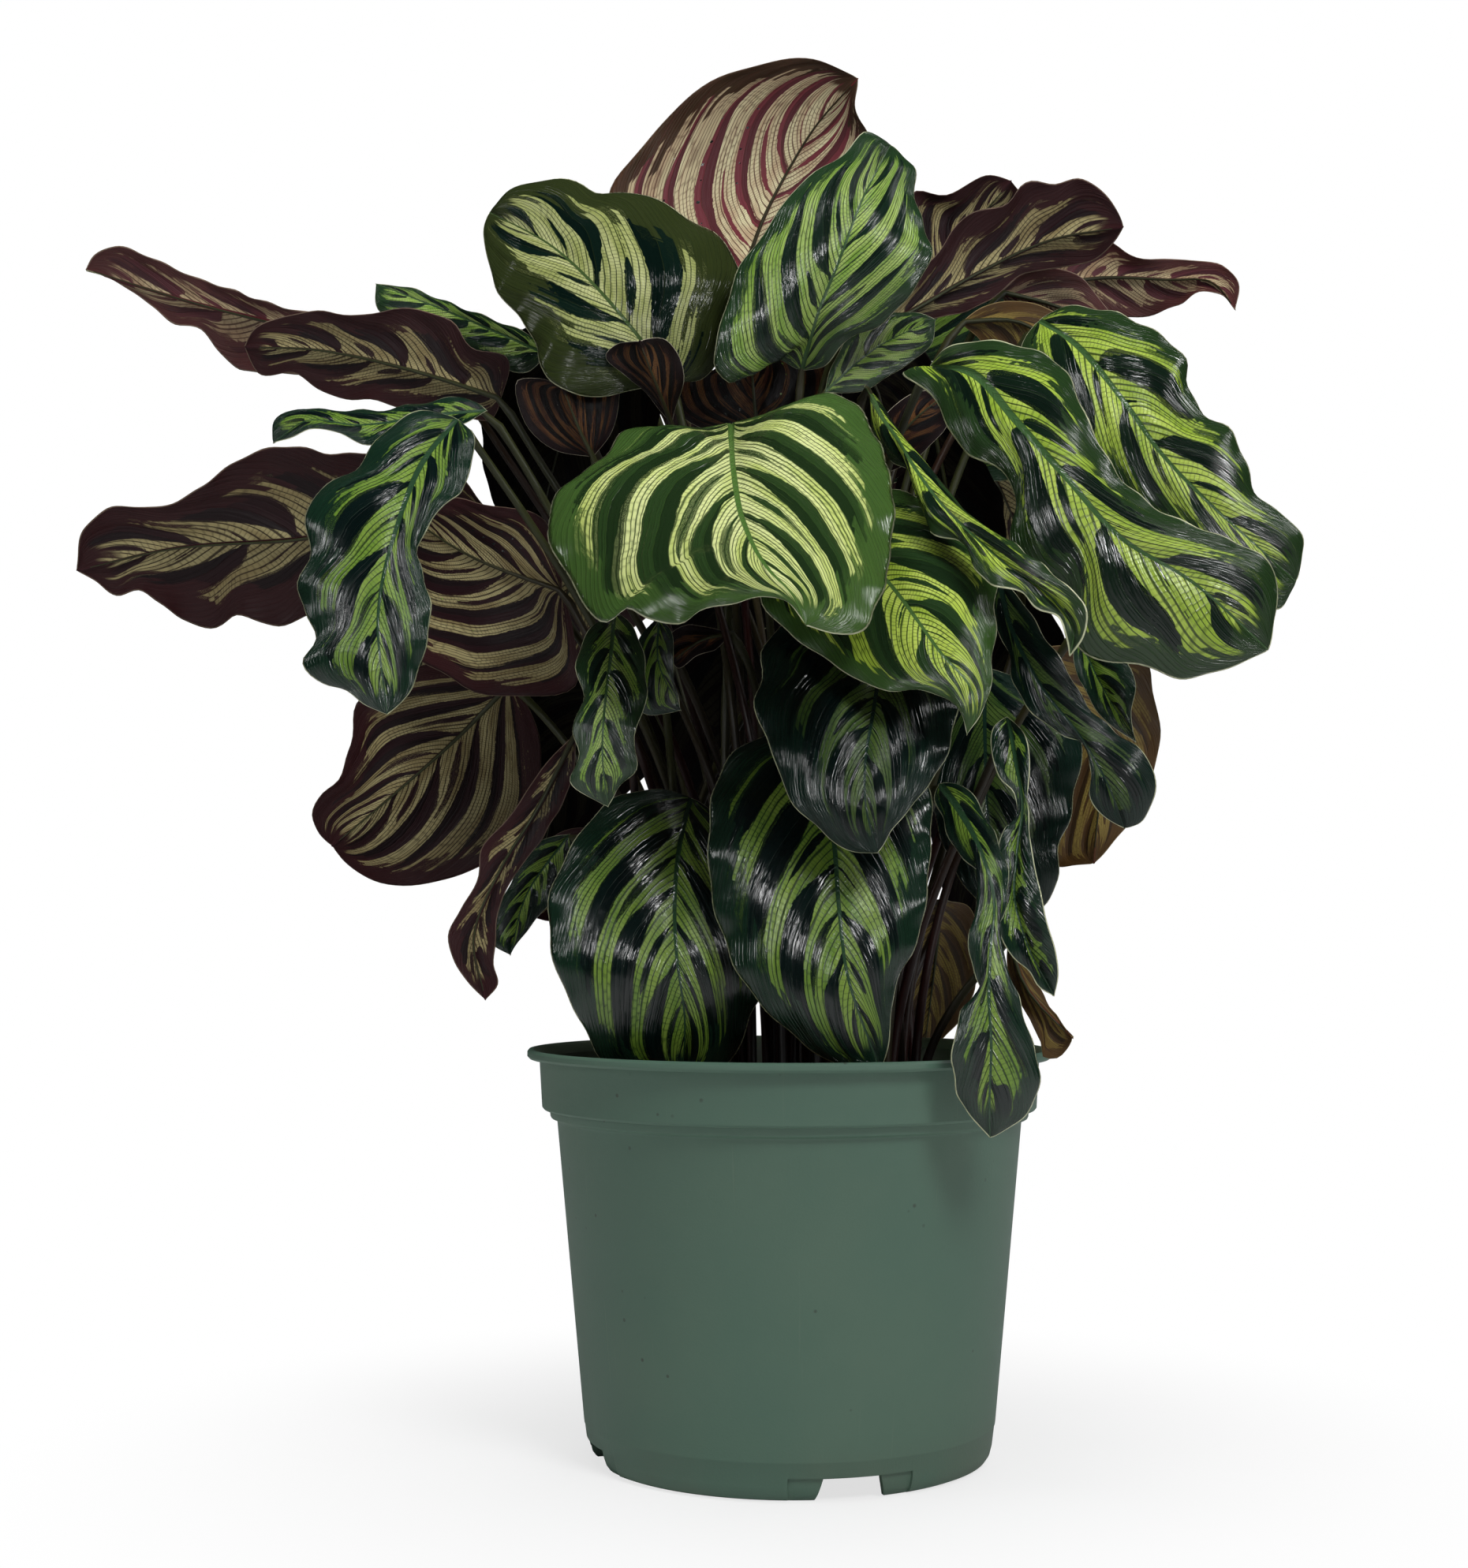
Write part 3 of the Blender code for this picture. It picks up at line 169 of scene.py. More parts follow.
TOP_LEAVES = (
    FrontLeaf(
        "top_back", UNDER, (-24, 572, 70, -12, 608, 82, 0, 632, 86, 14, 655, 82, 36, 680, 65),
        (-60, 570, -92, 600, -90, 622, -78, 640, -62, 658, -48, 673, -32, 682, -9, 689, 14, 690),
        (10, 565, 38, 595, 47, 630, 40, 651, 34, 666),
        lean=(-0.3, -0.3),
    ),
    FrontLeaf(
        "top_left", UPPER, (-58, 526, -25, -71, 544, -35, -93, 571, -35, -118, 595, -20, -150, 613, 0),
        (-80, 521, -104, 519, -120, 527, -126, 544, -134, 559, -145, 571, -150, 588, -153, 603),
        (-42, 527, -33, 540, -29, 558, -24, 583, -37, 603, -56, 613, -69, 620, -96, 622, -103, 627,
         -118, 630, -140, 624),
        lean=(-0.2, 0.25), two_back=(6, 8, 5), veins=(1.2, 0.1),
    ),
    FrontLeaf(
        "top_right", UPPER, (7, 531, -12, 15, 560, -30, 27, 590, -35, 35, 612, -32, 52, 646, -15),
        (-15, 540, -30, 526, -37, 533, -36, 546, -31, 563, -24, 584, -9, 605, 1, 620, 17, 634, 29, 642,
         40, 653),
        (18, 533, 27, 544, 48, 555, 63, 572, 72, 591, 69, 603, 64, 623, 64, 634, 58, 640),
        lean=(-0.15, 0.15),
    ),
    FrontLeaf(
        "right_top", UNDER, (25, 543, 5, 60, 560, 20, 95, 580, 28, 130, 596, 30, 168, 603, 22),
        (26, 556, 32, 562, 47, 568, 60, 575, 79, 595, 90, 610, 106, 614, 123, 627, 134, 625, 146, 628,
         161, 617, 166, 609),
        (36, 541, 50, 551, 74, 557, 90, 561, 106, 570, 116, 578, 134, 582, 154, 587, 163, 595),
        lean=(-0.3, 0.4),
    ),
    FrontLeaf(
        "right_top_rear", UNDER, (62, 560, 75, 88, 598, 88, 112, 627, 82),
        (52, 575, 55, 605, 64, 622, 80, 620, 101, 630),
        (90, 570, 112, 595, 119, 616),
        lean=(-0.2, 0.2),
    ),
    FrontLeaf(
        "right_rear_tip", UNDER, (125, 572, 70, 155, 577, 76, 190, 576, 72, 212, 574, 62, 223, 560, 55),
        (132, 590, 148, 597, 161, 596, 168, 590, 180, 587, 200, 586, 217, 583, 224, 576),
        (136, 564, 149, 562, 158, 559, 176, 557, 194, 563, 206, 569, 214, 569),
        lean=(-0.3, 0.3),
    ),
    FrontLeaf(
        "right_pink", UNDER, (106, 570, 45, 140, 560, 58, 185, 515, 60),
        (120, 581, 143, 579, 165, 555, 180, 535),
        (112, 558, 125, 540, 150, 515, 170, 505),
    ),
    FrontLeaf(
        "right_olive", UNDER, (86, 555, 25, 115, 555, 32, 150, 520, 36, 168, 480, 34),
        (98, 563, 118, 566, 135, 560, 155, 540, 170, 510),
        (95, 547, 110, 530, 130, 500, 150, 480),
    ),
)

RIGHT_LEAVES = (
    FrontLeaf(
        "right_lime_rear", UPPER,
        (125, 556, -2, 144, 543, -18, 166, 516, -28, 188, 485, -32, 206, 466, -32, 236, 438, -26,
         251, 424, -20),
        (116, 542, 122, 520, 138, 498, 160, 470, 190, 448, 215, 430, 243, 411),
        (138, 563, 155, 562, 166, 559, 174, 554, 190, 544, 198, 536, 200, 524, 206, 509, 218, 500, 226, 485,
         233, 468, 250, 453, 254, 446, 254, 437),
        lean=(0.1, 0.35),
    ),
    FrontLeaf(
        "right_lime_front", UPPER,
        (70, 532, -62, 94, 528, -88, 112, 507, -102, 137, 478, -112, 163, 448, -114, 200, 424, -108,
         237, 390, -95),
        (57, 530, 70, 520, 80, 502, 90, 488, 103, 482, 112, 470, 110, 451, 113, 438, 123, 427, 136, 422,
         140, 414, 143, 392, 158, 384, 171, 384, 193, 376, 207, 378, 224, 384),
        (77, 541, 90, 545, 111, 544, 134, 536, 150, 502, 158, 487, 171, 472, 191, 456, 216, 446, 234, 438,
         241, 429, 241, 414, 239, 400),
        lean=(0.22, 0.25),
    ),
    FrontLeaf(
        "right_strip", UPPER,
        (38, 524, -12, 52, 500, -72, 77, 463, -108, 105, 436, -124, 132, 415, -128, 141, 401, -128,
         139, 387, -126),
        (42, 517, 43, 500, 53, 484, 67, 475, 68, 460, 73, 448, 87, 444, 92, 433, 100, 423, 116, 419,
         123, 411, 133, 407, 137, 397),
        (48, 512, 58, 492, 71, 476, 83, 463, 98, 450, 112, 443, 133, 427, 148, 410, 146, 397),
        lean=(-0.3, -0.3), wave=0.8,
    ),
    FrontLeaf(
        "right_folded", UPPER,
        (104, 428, -42, 111, 400, -62, 126, 371, -76, 145, 346, -86, 158, 322, -86, 165, 302, -80),
        (100, 410, 108, 390, 112, 373, 122, 358, 134, 349, 144, 344, 149, 333, 148, 318, 155, 308),
        (118, 412, 128, 395, 136, 384, 141, 374, 150, 361, 160, 351, 172, 342, 180, 330, 179, 315, 174, 306),
        lean=((0.5, 0.2), (-0.5, 0.1)), wave=1.2,
    ),
    FrontLeaf(
        "right_curl", UPPER, (142, 400, -20, 155, 372, -34, 171, 345, -40),
        (141, 385, 147, 368, 158, 354),
        (152, 394, 165, 387, 171, 374, 169, 358),
        lean=(-0.6, -0.6), wave=0.8,
    ),
    FrontLeaf(
        "right_backlit", UNDER, (125, 392, 32, 152, 345, 46, 150, 285, 42),
        (120, 370, 118, 335, 124, 302, 131, 284, 141, 284),
        (145, 393, 165, 389, 177, 384, 180, 370, 184, 352, 179, 330, 169, 307, 160, 296, 155, 290),
    ),
    FrontLeaf(
        "right_dark", UPPER, (97, 382, 22, 97, 345, 12, 98, 310, 6, 107, 260, 6),
        (84, 376, 72, 358, 68, 335, 72, 308, 80, 285, 94, 266),
        (112, 378, 134, 366, 145, 345, 144, 333, 141, 318, 138, 305, 132, 292, 132, 277, 126, 265),
        lean=(0.15, 0.2),
    ),
    FrontLeaf(
        "right_twisted", UPPER,
        (108, 358, -54, 112, 335, -72, 115, 312, -84, 112, 290, -89, 111, 268, -92, 116, 248, -92,
         130, 220, -86),
        (101, 352, 100, 340, 104, 327, 111, 319, 112, 309, 106, 301, 103, 292, 107, 279, 102, 267, 103, 252,
         110, 239, 118, 232, 122, 225),
        (116, 350, 119, 338, 118, 322, 118, 310, 119, 298, 121, 285, 124, 270, 127, 255, 131, 242, 132, 229),
        lean=(-0.5, -0.4), wave=0.6,
    ),
)

LOW_LEAVES = (
    FrontLeaf(
        "front_centre", UPPER,
        (-28, 505, -25, -27, 482, -80, -22, 455, -130, -10, 432, -170, 4, 416, -187, 9, 403, -192),
        (-52, 500, -85, 500, -92, 488, -108, 475, -118, 462, -120, 450, -115, 437, -107, 425, -100, 411,
         -88, 403, -80, 411, -70, 407, -55, 405, -42, 412, -25, 414, -12, 417, -1, 415),
        (-15, 508, 2, 513, 20, 518, 33, 515, 42, 503, 48, 490, 51, 475, 53, 460, 51, 440, 49, 425, 43, 411,
         37, 400, 24, 399),
        lean=(0.25, 0.25), veins=(1.9, -0.2),
    ),
    FrontLeaf(
        "front_right", UPPER,
        (25, 458, -60, 40, 436, -86, 55, 418, -106, 75, 390, -126, 91, 369, -132, 92, 358, -132,
         88, 348, -130),
        (5, 452, -12, 432, -12, 412, 0, 400, 20, 386, 32, 377, 50, 370, 70, 370, 79, 366, 86, 357),
        (45, 470, 75, 462, 96, 445, 104, 425, 102, 410, 103, 398, 101, 385, 100, 370, 96, 361),
        lean=(0.2, 0.35),
    ),
    FrontLeaf(
        "front_hanging", UPPER,
        (48, 402, -52, 46, 385, -82, 42, 360, -106, 38, 335, -118, 38, 315, -122, 44, 290, -118),
        (20, 408, -5, 402, -13, 392, -13, 380, -17, 368, -15, 356, -10, 345, -6, 335, 1, 316, 12, 305,
         20, 297, 32, 291),
        (68, 402, 80, 388, 84, 368, 81, 350, 77, 335, 70, 325, 60, 312, 51, 302, 48, 296),
    ),
    FrontLeaf(
        "low_right", UPPER,
        (14, 348, -56, 18, 322, -74, 22, 300, -87, 25, 262, -100, 28, 235, -104, 45, 183, -98),
        (-5, 350, -28, 340, -37, 322, -39, 300, -39, 282, -38, 268, -33, 250, -27, 235, -15, 218, 0, 203,
         12, 193, 27, 185),
        (35, 350, 58, 342, 69, 325, 71, 305, 70, 290, 68, 272, 64, 250, 60, 240, 52, 222, 50, 205, 48, 193),
    ),
    FrontLeaf(
        "low_left", UPPER,
        (-48, 318, -28, -53, 298, -50, -56, 268, -68, -55, 240, -76, -51, 210, -72, -52, 181, -60),
        (-62, 322, -85, 318, -97, 307, -110, 288, -117, 275, -119, 265, -118, 250, -114, 232, -108, 220,
         -101, 206, -93, 190, -75, 181),
        (-36, 310, -22, 295, -12, 270, -9, 245, -12, 225, -17, 213, -21, 203, -27, 190, -38, 182),
        lean=(0.15, 0.15),
    ),
    FrontLeaf(
        "low_over_rim", UPPER,
        (74, 325, -60, 85, 310, -86, 95, 290, -106, 101, 268, -114, 99, 245, -119, 98, 222, -121,
         99, 195, -121, 98, 170, -118, 98, 151, -114),
        (72, 316, 77, 306, 79, 297, 84, 289, 91, 282, 93, 268, 90, 253, 88, 243, 91, 232, 93, 222, 84, 212,
         81, 200, 79, 190, 81, 180, 82, 172, 86, 165, 92, 158),
        (85, 324, 98, 308, 105, 288, 107, 268, 104, 250, 108, 232, 113, 215, 117, 203, 122, 190, 123, 180,
         121, 171, 117, 164, 110, 158, 104, 154),
        lean=((-0.2, 0.1), 0.2),
    ),
    FrontLeaf(
        "low_dry", UNDER, (108, 250, -55, 117, 224, -68, 139, 200, -74),
        (115, 240, 122, 227, 129, 214),
        (107, 234, 112, 218, 120, 206, 124, 198, 124, 191, 131, 190, 136, 195),
    ),
    FrontLeaf(
        "low_behind_pot", UNDER, (75, 268, 75, 72, 238, 128, 66, 192, 152),
        (60, 264, 50, 240, 48, 215, 56, 195),
        (90, 262, 94, 245, 92, 228, 86, 212, 76, 200),
        lean=(-0.1, -0.1),
    ),
)

LEFT_LEAVES = (
    FrontLeaf(
        "left_hanging", UPPER,
        (-165, 508, -51, -184, 483, -71, -193, 460, -84, -204, 410, -96, -199, 359, -96),
        (-182, 512, -203, 501, -216, 484, -237, 467, -240, 457, -239, 438, -246, 423, -241, 411, -235, 398,
         -241, 386, -230, 374, -219, 371, -210, 364),
        (-157, 500, -159, 481, -163, 470, -172, 463, -183, 445, -178, 413, -183, 382, -190, 367),
        lean=(0.2, 0.3),
    ),
    FrontLeaf(
        "left_far", UNDER, (-150, 462, 22, -190, 458, 32, -240, 448, 38, -307, 443, 40, -356, 432, 32),
        (-165, 480, -190, 490, -210, 491, -226, 491, -251, 494, -270, 490, -285, 481, -300, 470, -313, 464,
         -341, 463, -352, 454),
        (-165, 440, -190, 420, -215, 409, -239, 409, -252, 404, -262, 406, -275, 409, -286, 402, -302, 407,
         -314, 416, -324, 422, -335, 419, -347, 427),
        lean=(-0.5, 0.5),
    ),
    FrontLeaf(
        "left_inner", UNDER, (-112, 421, -4, -157, 438, -6, -200, 466, -8),
        (-113, 440, -118, 452, -128, 461, -145, 463, -160, 467, -176, 469, -190, 470),
        (-107, 402, -105, 374, -138, 368, -157, 371, -170, 379, -183, 386, -200, 410, -207, 440),
        lean=(-0.15, 0.05),
    ),
    FrontLeaf(
        "left_low", UNDER, (-138, 375, 28, -166, 346, 34, -193, 322, 34, -226, 294, 28),
        (-150, 386, -175, 386, -198, 378, -213, 366, -218, 342, -223, 328, -231, 320, -236, 309, -233, 301),
        (-127, 360, -122, 335, -125, 310, -138, 292, -153, 284, -168, 278, -190, 274, -206, 277, -219, 286),
        lean=(-0.4, 0.4),
    ),
    FrontLeaf(
        "left_narrow", UNDER,
        (-105, 350, -18, -125, 310, -28, -143, 280, -36, -155, 248, -38, -149, 218, -36),
        (-119, 336, -140, 306, -152, 291, -153, 279, -162, 263, -168, 250, -165, 238, -158, 227),
        (-106, 330, -120, 300, -138, 274, -143, 262, -144, 250, -145, 236, -143, 226),
        wave=1.0,
    ),
    FrontLeaf(
        "left_small_tip", UPPER, (-108, 300, 4, -130, 268, 0, -137, 240, -2),
        (-124, 296, -140, 270, -146, 246),
        (-104, 285, -119, 264, -132, 248),
        wave=1.0,
    ),
    FrontLeaf(
        "left_purple_low", UNDER, (-90, 302, 42, -114, 280, 48, -128, 259, 44),
        (-105, 303, -125, 291, -133, 272),
        (-88, 280, -100, 264, -115, 257),
        wave=1.0,
    ),
    FrontLeaf(
        "inner_left", UPPER, (-86, 412, -62, -88, 388, -84, -91, 362, -98, -92, 340, -100, -89, 313, -94),
        (-97, 403, -105, 384, -102, 365, -108, 352, -103, 340, -108, 326, -100, 319),
        (-76, 401, -70, 378, -71, 362, -76, 350, -75, 332, -84, 322),
        lean=(0.1, 0.1), wave=1.2,
    ),
    FrontLeaf(
        "inner_small", UPPER, (-64, 408, -38, -64, 384, -50, -53, 361, -54),
        (-72, 400, -76, 380, -71, 359),
        (-57, 398, -57, 384, -55, 371),
        wave=0.8,
    ),
    FrontLeaf(
        "inner_curl", UNDER, (-28, 399, -18, -42, 396, -26, -58, 385, -28),
        (-38, 402, -50, 404, -59, 398),
        (-36, 391, -46, 388, -55, 382),
        wave=0.8,
    ),
    FrontLeaf(
        "left_top_far", UNDER, (-168, 532, 42, -230, 550, 54, -300, 568, 58, -354, 585, 50),
        (-185, 548, -220, 560, -250, 564, -272, 572, -300, 581, -325, 593, -339, 597, -350, 592),
        (-190, 528, -230, 530, -265, 532, -275, 533, -287, 543, -295, 554, -308, 557, -320, 566, -336, 577,
         -347, 583),
        lean=(-0.4, 0.4),
    ),
    FrontLeaf(
        "left_top", UNDER, (-143, 518, 4, -190, 533, 8, -235, 543, 8, -273, 545, 4),
        (-140, 539, -156, 543, -170, 558, -185, 563, -199, 564, -210, 561, -236, 563, -254, 560, -269, 553),
        (-147, 508, -165, 509, -190, 512, -204, 517, -226, 519, -236, 523, -247, 531, -265, 531),
        lean=(-0.35, 0.35),
    ),
    FrontLeaf(
        "left_top_rear", UPPER, (-120, 540, 26, -165, 560, 34, -207, 577, 34),
        (-125, 547, -146, 557, -167, 566, -188, 574),
        (-130, 531, -155, 540, -185, 553, -206, 564),
        lean=(0.4, -0.2), wave=1.0,
    ),
    FrontLeaf(
        "left_arching", UPPER,
        (-150, 512, -30, -175, 510, -42, -215, 505, -52, -242, 507, -54, -258, 496, -50),
        (-160, 518, -178, 517, -210, 512, -232, 512, -248, 513, -258, 506),
        (-160, 506, -175, 501, -195, 496, -213, 495, -224, 501, -238, 503, -250, 498),
        lean=(0.8, -0.4), wave=0.8,
    ),
    FrontLeaf(
        "cup_left", UNDER, (-97, 488, -30, -105, 504, -40, -112, 523, -46),
        (-117, 492, -132, 506, -134, 528, -124, 528),
        (-88, 500, -84, 522, -88, 539, -99, 532),
        wave=0.8,
    ),
    FrontLeaf(
        "cup_upright", UNDER, (-58, 505, -32, -66, 526, -50, -74, 547, -60),
        (-68, 516, -80, 529, -91, 540, -86, 545),
        (-55, 515, -52, 530, -55, 541, -62, 548),
        wave=0.8,
    ),
    FrontLeaf(
        "cup_centre", UNDER, (-15, 500, 16, -17, 520, 8, -19, 547, 6),
        (-38, 501, -55, 511, -55, 529, -37, 532, -26, 543),
        (8, 503, 26, 512, 25, 530, -4, 545),
        wave=1.0,
    ),
    FrontLeaf(
        "inner_glossy", UPPER, (18, 520, -8, 45, 543, 0, 74, 557, 0),
        (24, 538, 40, 556, 60, 561),
        (35, 520, 55, 531, 72, 545),
        wave=0.8,
    ),
    FrontLeaf(
        "inner_dark", UNDER, (45, 478, -18, 60, 503, -26, 79, 519, -24),
        (43, 494, 52, 512, 67, 521),
        (56, 482, 70, 492, 80, 505),
        wave=0.8,
    ),
)

BACK_LEAVES = (
    BackLeaf("back_low_left", (-80, 94, 384, -112, 118, 368, -136, 134, 296), 92, (-0.3, 0.9, 0.3)),
    BackLeaf("back_low_centre", (-22, 92, 446, -34, 132, 404, -28, 172, 222), 86, (0.0, 0.95, 0.3)),
    BackLeaf("back_low_right", (76, 68, 524, 86, 88, 484, 98, 106, 362), 62, (0.3, 0.9, 0.3)),
    BackLeaf("back_side_left", (-115, 75, 400, -175, 105, 425, -225, 140, 368), 110, (-0.5, 0.3, 0.9)),
    BackLeaf("back_side_right", (115, 60, 455, 185, 90, 480, 245, 120, 425), 110, (0.5, 0.3, 0.9)),
    BackLeaf("back_mid_left", (-75, 110, 445, -115, 180, 470, -150, 245, 405), 120, (-0.2, 0.5, 0.9)),
    BackLeaf("back_mid_centre", (0, 110, 420, 5, 185, 440, 15, 240, 365), 125, (0.0, 0.6, 0.8)),
    BackLeaf("back_mid_right", (70, 110, 500, 110, 180, 525, 150, 250, 470), 115, (0.3, 0.5, 0.9)),
    BackLeaf("back_high_left", (-75, 85, 540, -135, 140, 584, -195, 188, 558), 115, (-0.3, 0.3, 1.0)),
    BackLeaf("back_high_centre", (-5, 105, 530, -15, 180, 565, -25, 250, 510), 125, (0.0, 0.5, 0.9)),
    BackLeaf("back_high_right", (60, 100, 560, 110, 155, 615, 160, 205, 590), 110, (0.3, 0.3, 1.0)),
    BackLeaf("back_side_low", (126, 110, 440, 122, 138, 384, 102, 164, 244), 82, (0.2, 0.9, 0.3)),
    BackLeaf("back_top", (20, 105, 600, 35, 155, 655, 45, 205, 660), 110, (0.1, -0.2, 1.0)),
    BackLeaf("back_inner_left", (-72, 50, 562, -106, 70, 540, -138, 84, 450), 98, (-0.2, 0.9, 0.3)),
    BackLeaf("back_inner_right", (30, 32, 550, 43, 39, 537, 53, 46, 484), 66, (0.1, 0.9, 0.3), droop=0.1),
)

LEAVES = TOP_LEAVES + RIGHT_LEAVES + LOW_LEAVES + LEFT_LEAVES + BACK_LEAVES

# Nodes and finishes

Colour = tuple[float, float, float]
Shade = tuple[int, int, int]


def tint(red: int, green: int, blue: int) -> Colour:
    """The linear colour that the shader takes, for one that a screen shows with parts from 0 to 255."""
    parts = [channel / 255 for channel in (red, green, blue)]
    return tuple(part / 12.92 if part <= 0.04045 else ((part + 0.055) / 1.055) ** 2.4 for part in parts)


class Wiring:
    """Adds nodes to one node tree and joins them up."""

    def __init__(self, tree: bpy.types.NodeTree) -> None:
        """Starts on the tree of a material, a world or a group."""
        self.tree = tree

    def feed(self, socket: bpy.types.NodeSocket, value: object) -> None:
        """Gives a socket its value.

        Args:
            socket: the input to fill.
            value: a Number or another node's socket, which is linked, or a plain value, which is set.
        """
        if isinstance(value, Number):
            value = value.socket
        if isinstance(value, bpy.types.NodeSocket):
            self.tree.links.new(value, socket)
        elif socket.type == "RGBA":
            socket.default_value = (*value[:3], 1.0)
        else:
            socket.default_value = value

    def node(self, kind: str, inputs: dict | None = None, **settings: object) -> bpy.types.Node:
        """Adds a node.

        Args:
            kind: the node's type.
            inputs: a value for each named or numbered input.
            settings: the node's own settings.

        Returns:
            The node.
        """
        made = self.tree.nodes.new(kind)
        for name, value in settings.items():
            setattr(made, name, value)
        for name, value in (inputs or {}).items():
            self.feed(made.inputs[name], value)
        return made

    def place(self) -> bpy.types.NodeSocket:
        """The point's place on its piece, in metres."""
        return self.node("ShaderNodeTexCoord").outputs["Object"]

    def attribute(self, name: str) -> bpy.types.NodeSocket:
        """Three numbers that the piece's corners carry under this name."""
        return self.node("ShaderNodeAttribute", attribute_name=name).outputs["Vector"]

    def math(self, operation: str, *terms: object) -> Number:
        """The result of one Math node on the terms."""
        made = self.node("ShaderNodeMath", dict(enumerate(terms)), operation=operation)
        return Number(self, made.outputs[0])

    def vector(self, x: object, y: object, z: object) -> bpy.types.NodeSocket:
        """Three numbers as one vector."""
        return self.node("ShaderNodeCombineXYZ", {0: x, 1: y, 2: z}).outputs[0]

    def parts(self, vector: bpy.types.NodeSocket) -> list[Number]:
        """The three numbers of a vector or a colour."""
        made = self.node("ShaderNodeSeparateXYZ", {0: vector})
        return [Number(self, output) for output in made.outputs]

    def step(self, value: object, low: object, high: object) -> Number:
        """A soft step from 0 where the value is low to 1 where it is high."""
        ends = {"Value": value, "From Min": low, "From Max": high}
        made = self.node("ShaderNodeMapRange", ends, interpolation_type="SMOOTHSTEP")
        return Number(self, made.outputs["Result"])

    def noise(self, vector: object, scale: float = 1.0, detail: float = 2.0) -> Number:
        """Soft noise about 0.5."""
        made = self.node("ShaderNodeTexNoise", {"Vector": vector, "Scale": scale, "Detail": detail})
        return Number(self, made.outputs[0])

    def cells(self, vector: object, scale: float) -> Number:
        """The distance to the nearest of many scattered points."""
        made = self.node("ShaderNodeTexVoronoi", {"Vector": vector, "Scale": scale})
        return Number(self, made.outputs["Distance"])

    def dice(self, x: object, y: object, z: object) -> list[Number]:
        """Three random numbers from 0 to 1 for each whole-numbered place."""
        made = self.node("ShaderNodeTexWhiteNoise", {"Vector": self.vector(x, y, z)})
        return self.parts(made.outputs["Color"])

    def mix(self, share: object, first: object, second: object) -> bpy.types.NodeSocket:
        """A colour between two colours."""
        made = self.node("ShaderNodeMix", {0: share, 6: first, 7: second}, data_type="RGBA")
        return made.outputs[2]

    def seen(self) -> Number:
        """1 where the camera looks at the surface itself, and 0 for light that bounces."""
        return Number(self, self.node("ShaderNodeLightPath").outputs["Is Camera Ray"])

    def dress(self, shader: bpy.types.Node, colour: object, roughness: object, relief: Relief) -> None:
        """Gives a shader its finish.

        Args:
            shader: the Principled BSDF.
            colour, roughness: what its two inputs take.
            relief: the fine relief that it shows.
        """
        self.feed(shader.inputs["Base Color"], colour)
        self.feed(shader.inputs["Roughness"], roughness)
        bump = self.node(
            "ShaderNodeBump",
            {"Height": relief.height, "Strength": relief.strength, "Distance": relief.depth},
        )
        self.feed(shader.inputs["Normal"], bump.outputs["Normal"])


@dataclass(frozen=True)
class Relief:
    """A fine relief: its height over the surface, how strongly it shows and its depth in metres."""

    height: object
    strength: float
    depth: float


class Number:
    """A number that varies over the surface, which formulas can be written with."""

    def __init__(self, wiring: Wiring, socket: bpy.types.NodeSocket) -> None:
        """Wraps the socket that gives the number."""
        self.wiring = wiring
        self.socket = socket

    def __add__(self, other: object) -> Number:
        """The sum."""
        return self.wiring.math("ADD", self, other)

    def __sub__(self, other: object) -> Number:
        """The difference."""
        return self.wiring.math("SUBTRACT", self, other)

    def __rsub__(self, other: object) -> Number:
        """The difference, the other way round."""
        return self.wiring.math("SUBTRACT", other, self)

    def __mul__(self, other: object) -> Number:
        """The product."""
        return self.wiring.math("MULTIPLY", self, other)

    def __truediv__(self, other: object) -> Number:
        """The quotient."""
        return self.wiring.math("DIVIDE", self, other)

    def __pow__(self, other: object) -> Number:
        """The power."""
        return self.wiring.math("POWER", self, other)

    def __abs__(self) -> Number:
        """The size without its sign."""
        return self.wiring.math("ABSOLUTE", self)

    def to(self, operation: str, *others: object) -> Number:
        """The result of a Math node that has no sign of its own, such as SINE or FLOOR."""
        return self.wiring.math(operation, self, *others)

    def clamped(self) -> Number:
        """The number, kept from 0 to 1."""
        return self.to("MAXIMUM", 0.0).to("MINIMUM", 1.0)

    def between(self, low: float, high: float) -> Number:
        """A number that is low where this one is 0 and high where it is 1."""
        return self * (high - low) + low

    def about(self, spread: float) -> Number:
        """A number from minus to plus the spread, where this one runs from 0 to 1."""
        return (self - 0.5) * (2 * spread)

    def to_whole(self) -> Number:
        """How far the number is from the nearest whole one."""
        return 0.5 - abs(self.to("FRACT") - 0.5)


def new_material(name: str) -> tuple[bpy.types.Material, Wiring, bpy.types.Node]:
    """An empty material.

    Args:
        name: the material's name.

    Returns:
        The material, its wiring and its Principled BSDF.
    """
    material = bpy.data.materials.new(name)
    material.use_nodes = True
    return material, Wiring(material.node_tree), material.node_tree.nodes["Principled BSDF"]


# What each leaf finish gives the pattern: the names are those of the finish's own values, and the first two
# are attributes of the blade
PATTERN_INPUTS = {
    "Leaf map": "Vector",
    "Leaf share": "Vector",
    "Ground": "Color",
    "Ground shade": "Color",
    "Blotch": "Color",
    "Margin": "Color",
    "Line": "Color",
    "Rib": "Color",
    "Rim": "Color",
    "Pitch": "Float",
    "Strip pitch": "Float",
    "Blotch width": "Float",
    "Tail": "Float",
    "Margin width": "Float",
    "Rib width": "Float",
}
PATTERN_OUTPUTS = {"Color": "Color", "Height": "Float", "Roughness": "Float"}
LEAF_ATTRIBUTES = ("leaf_map", "leaf_share")

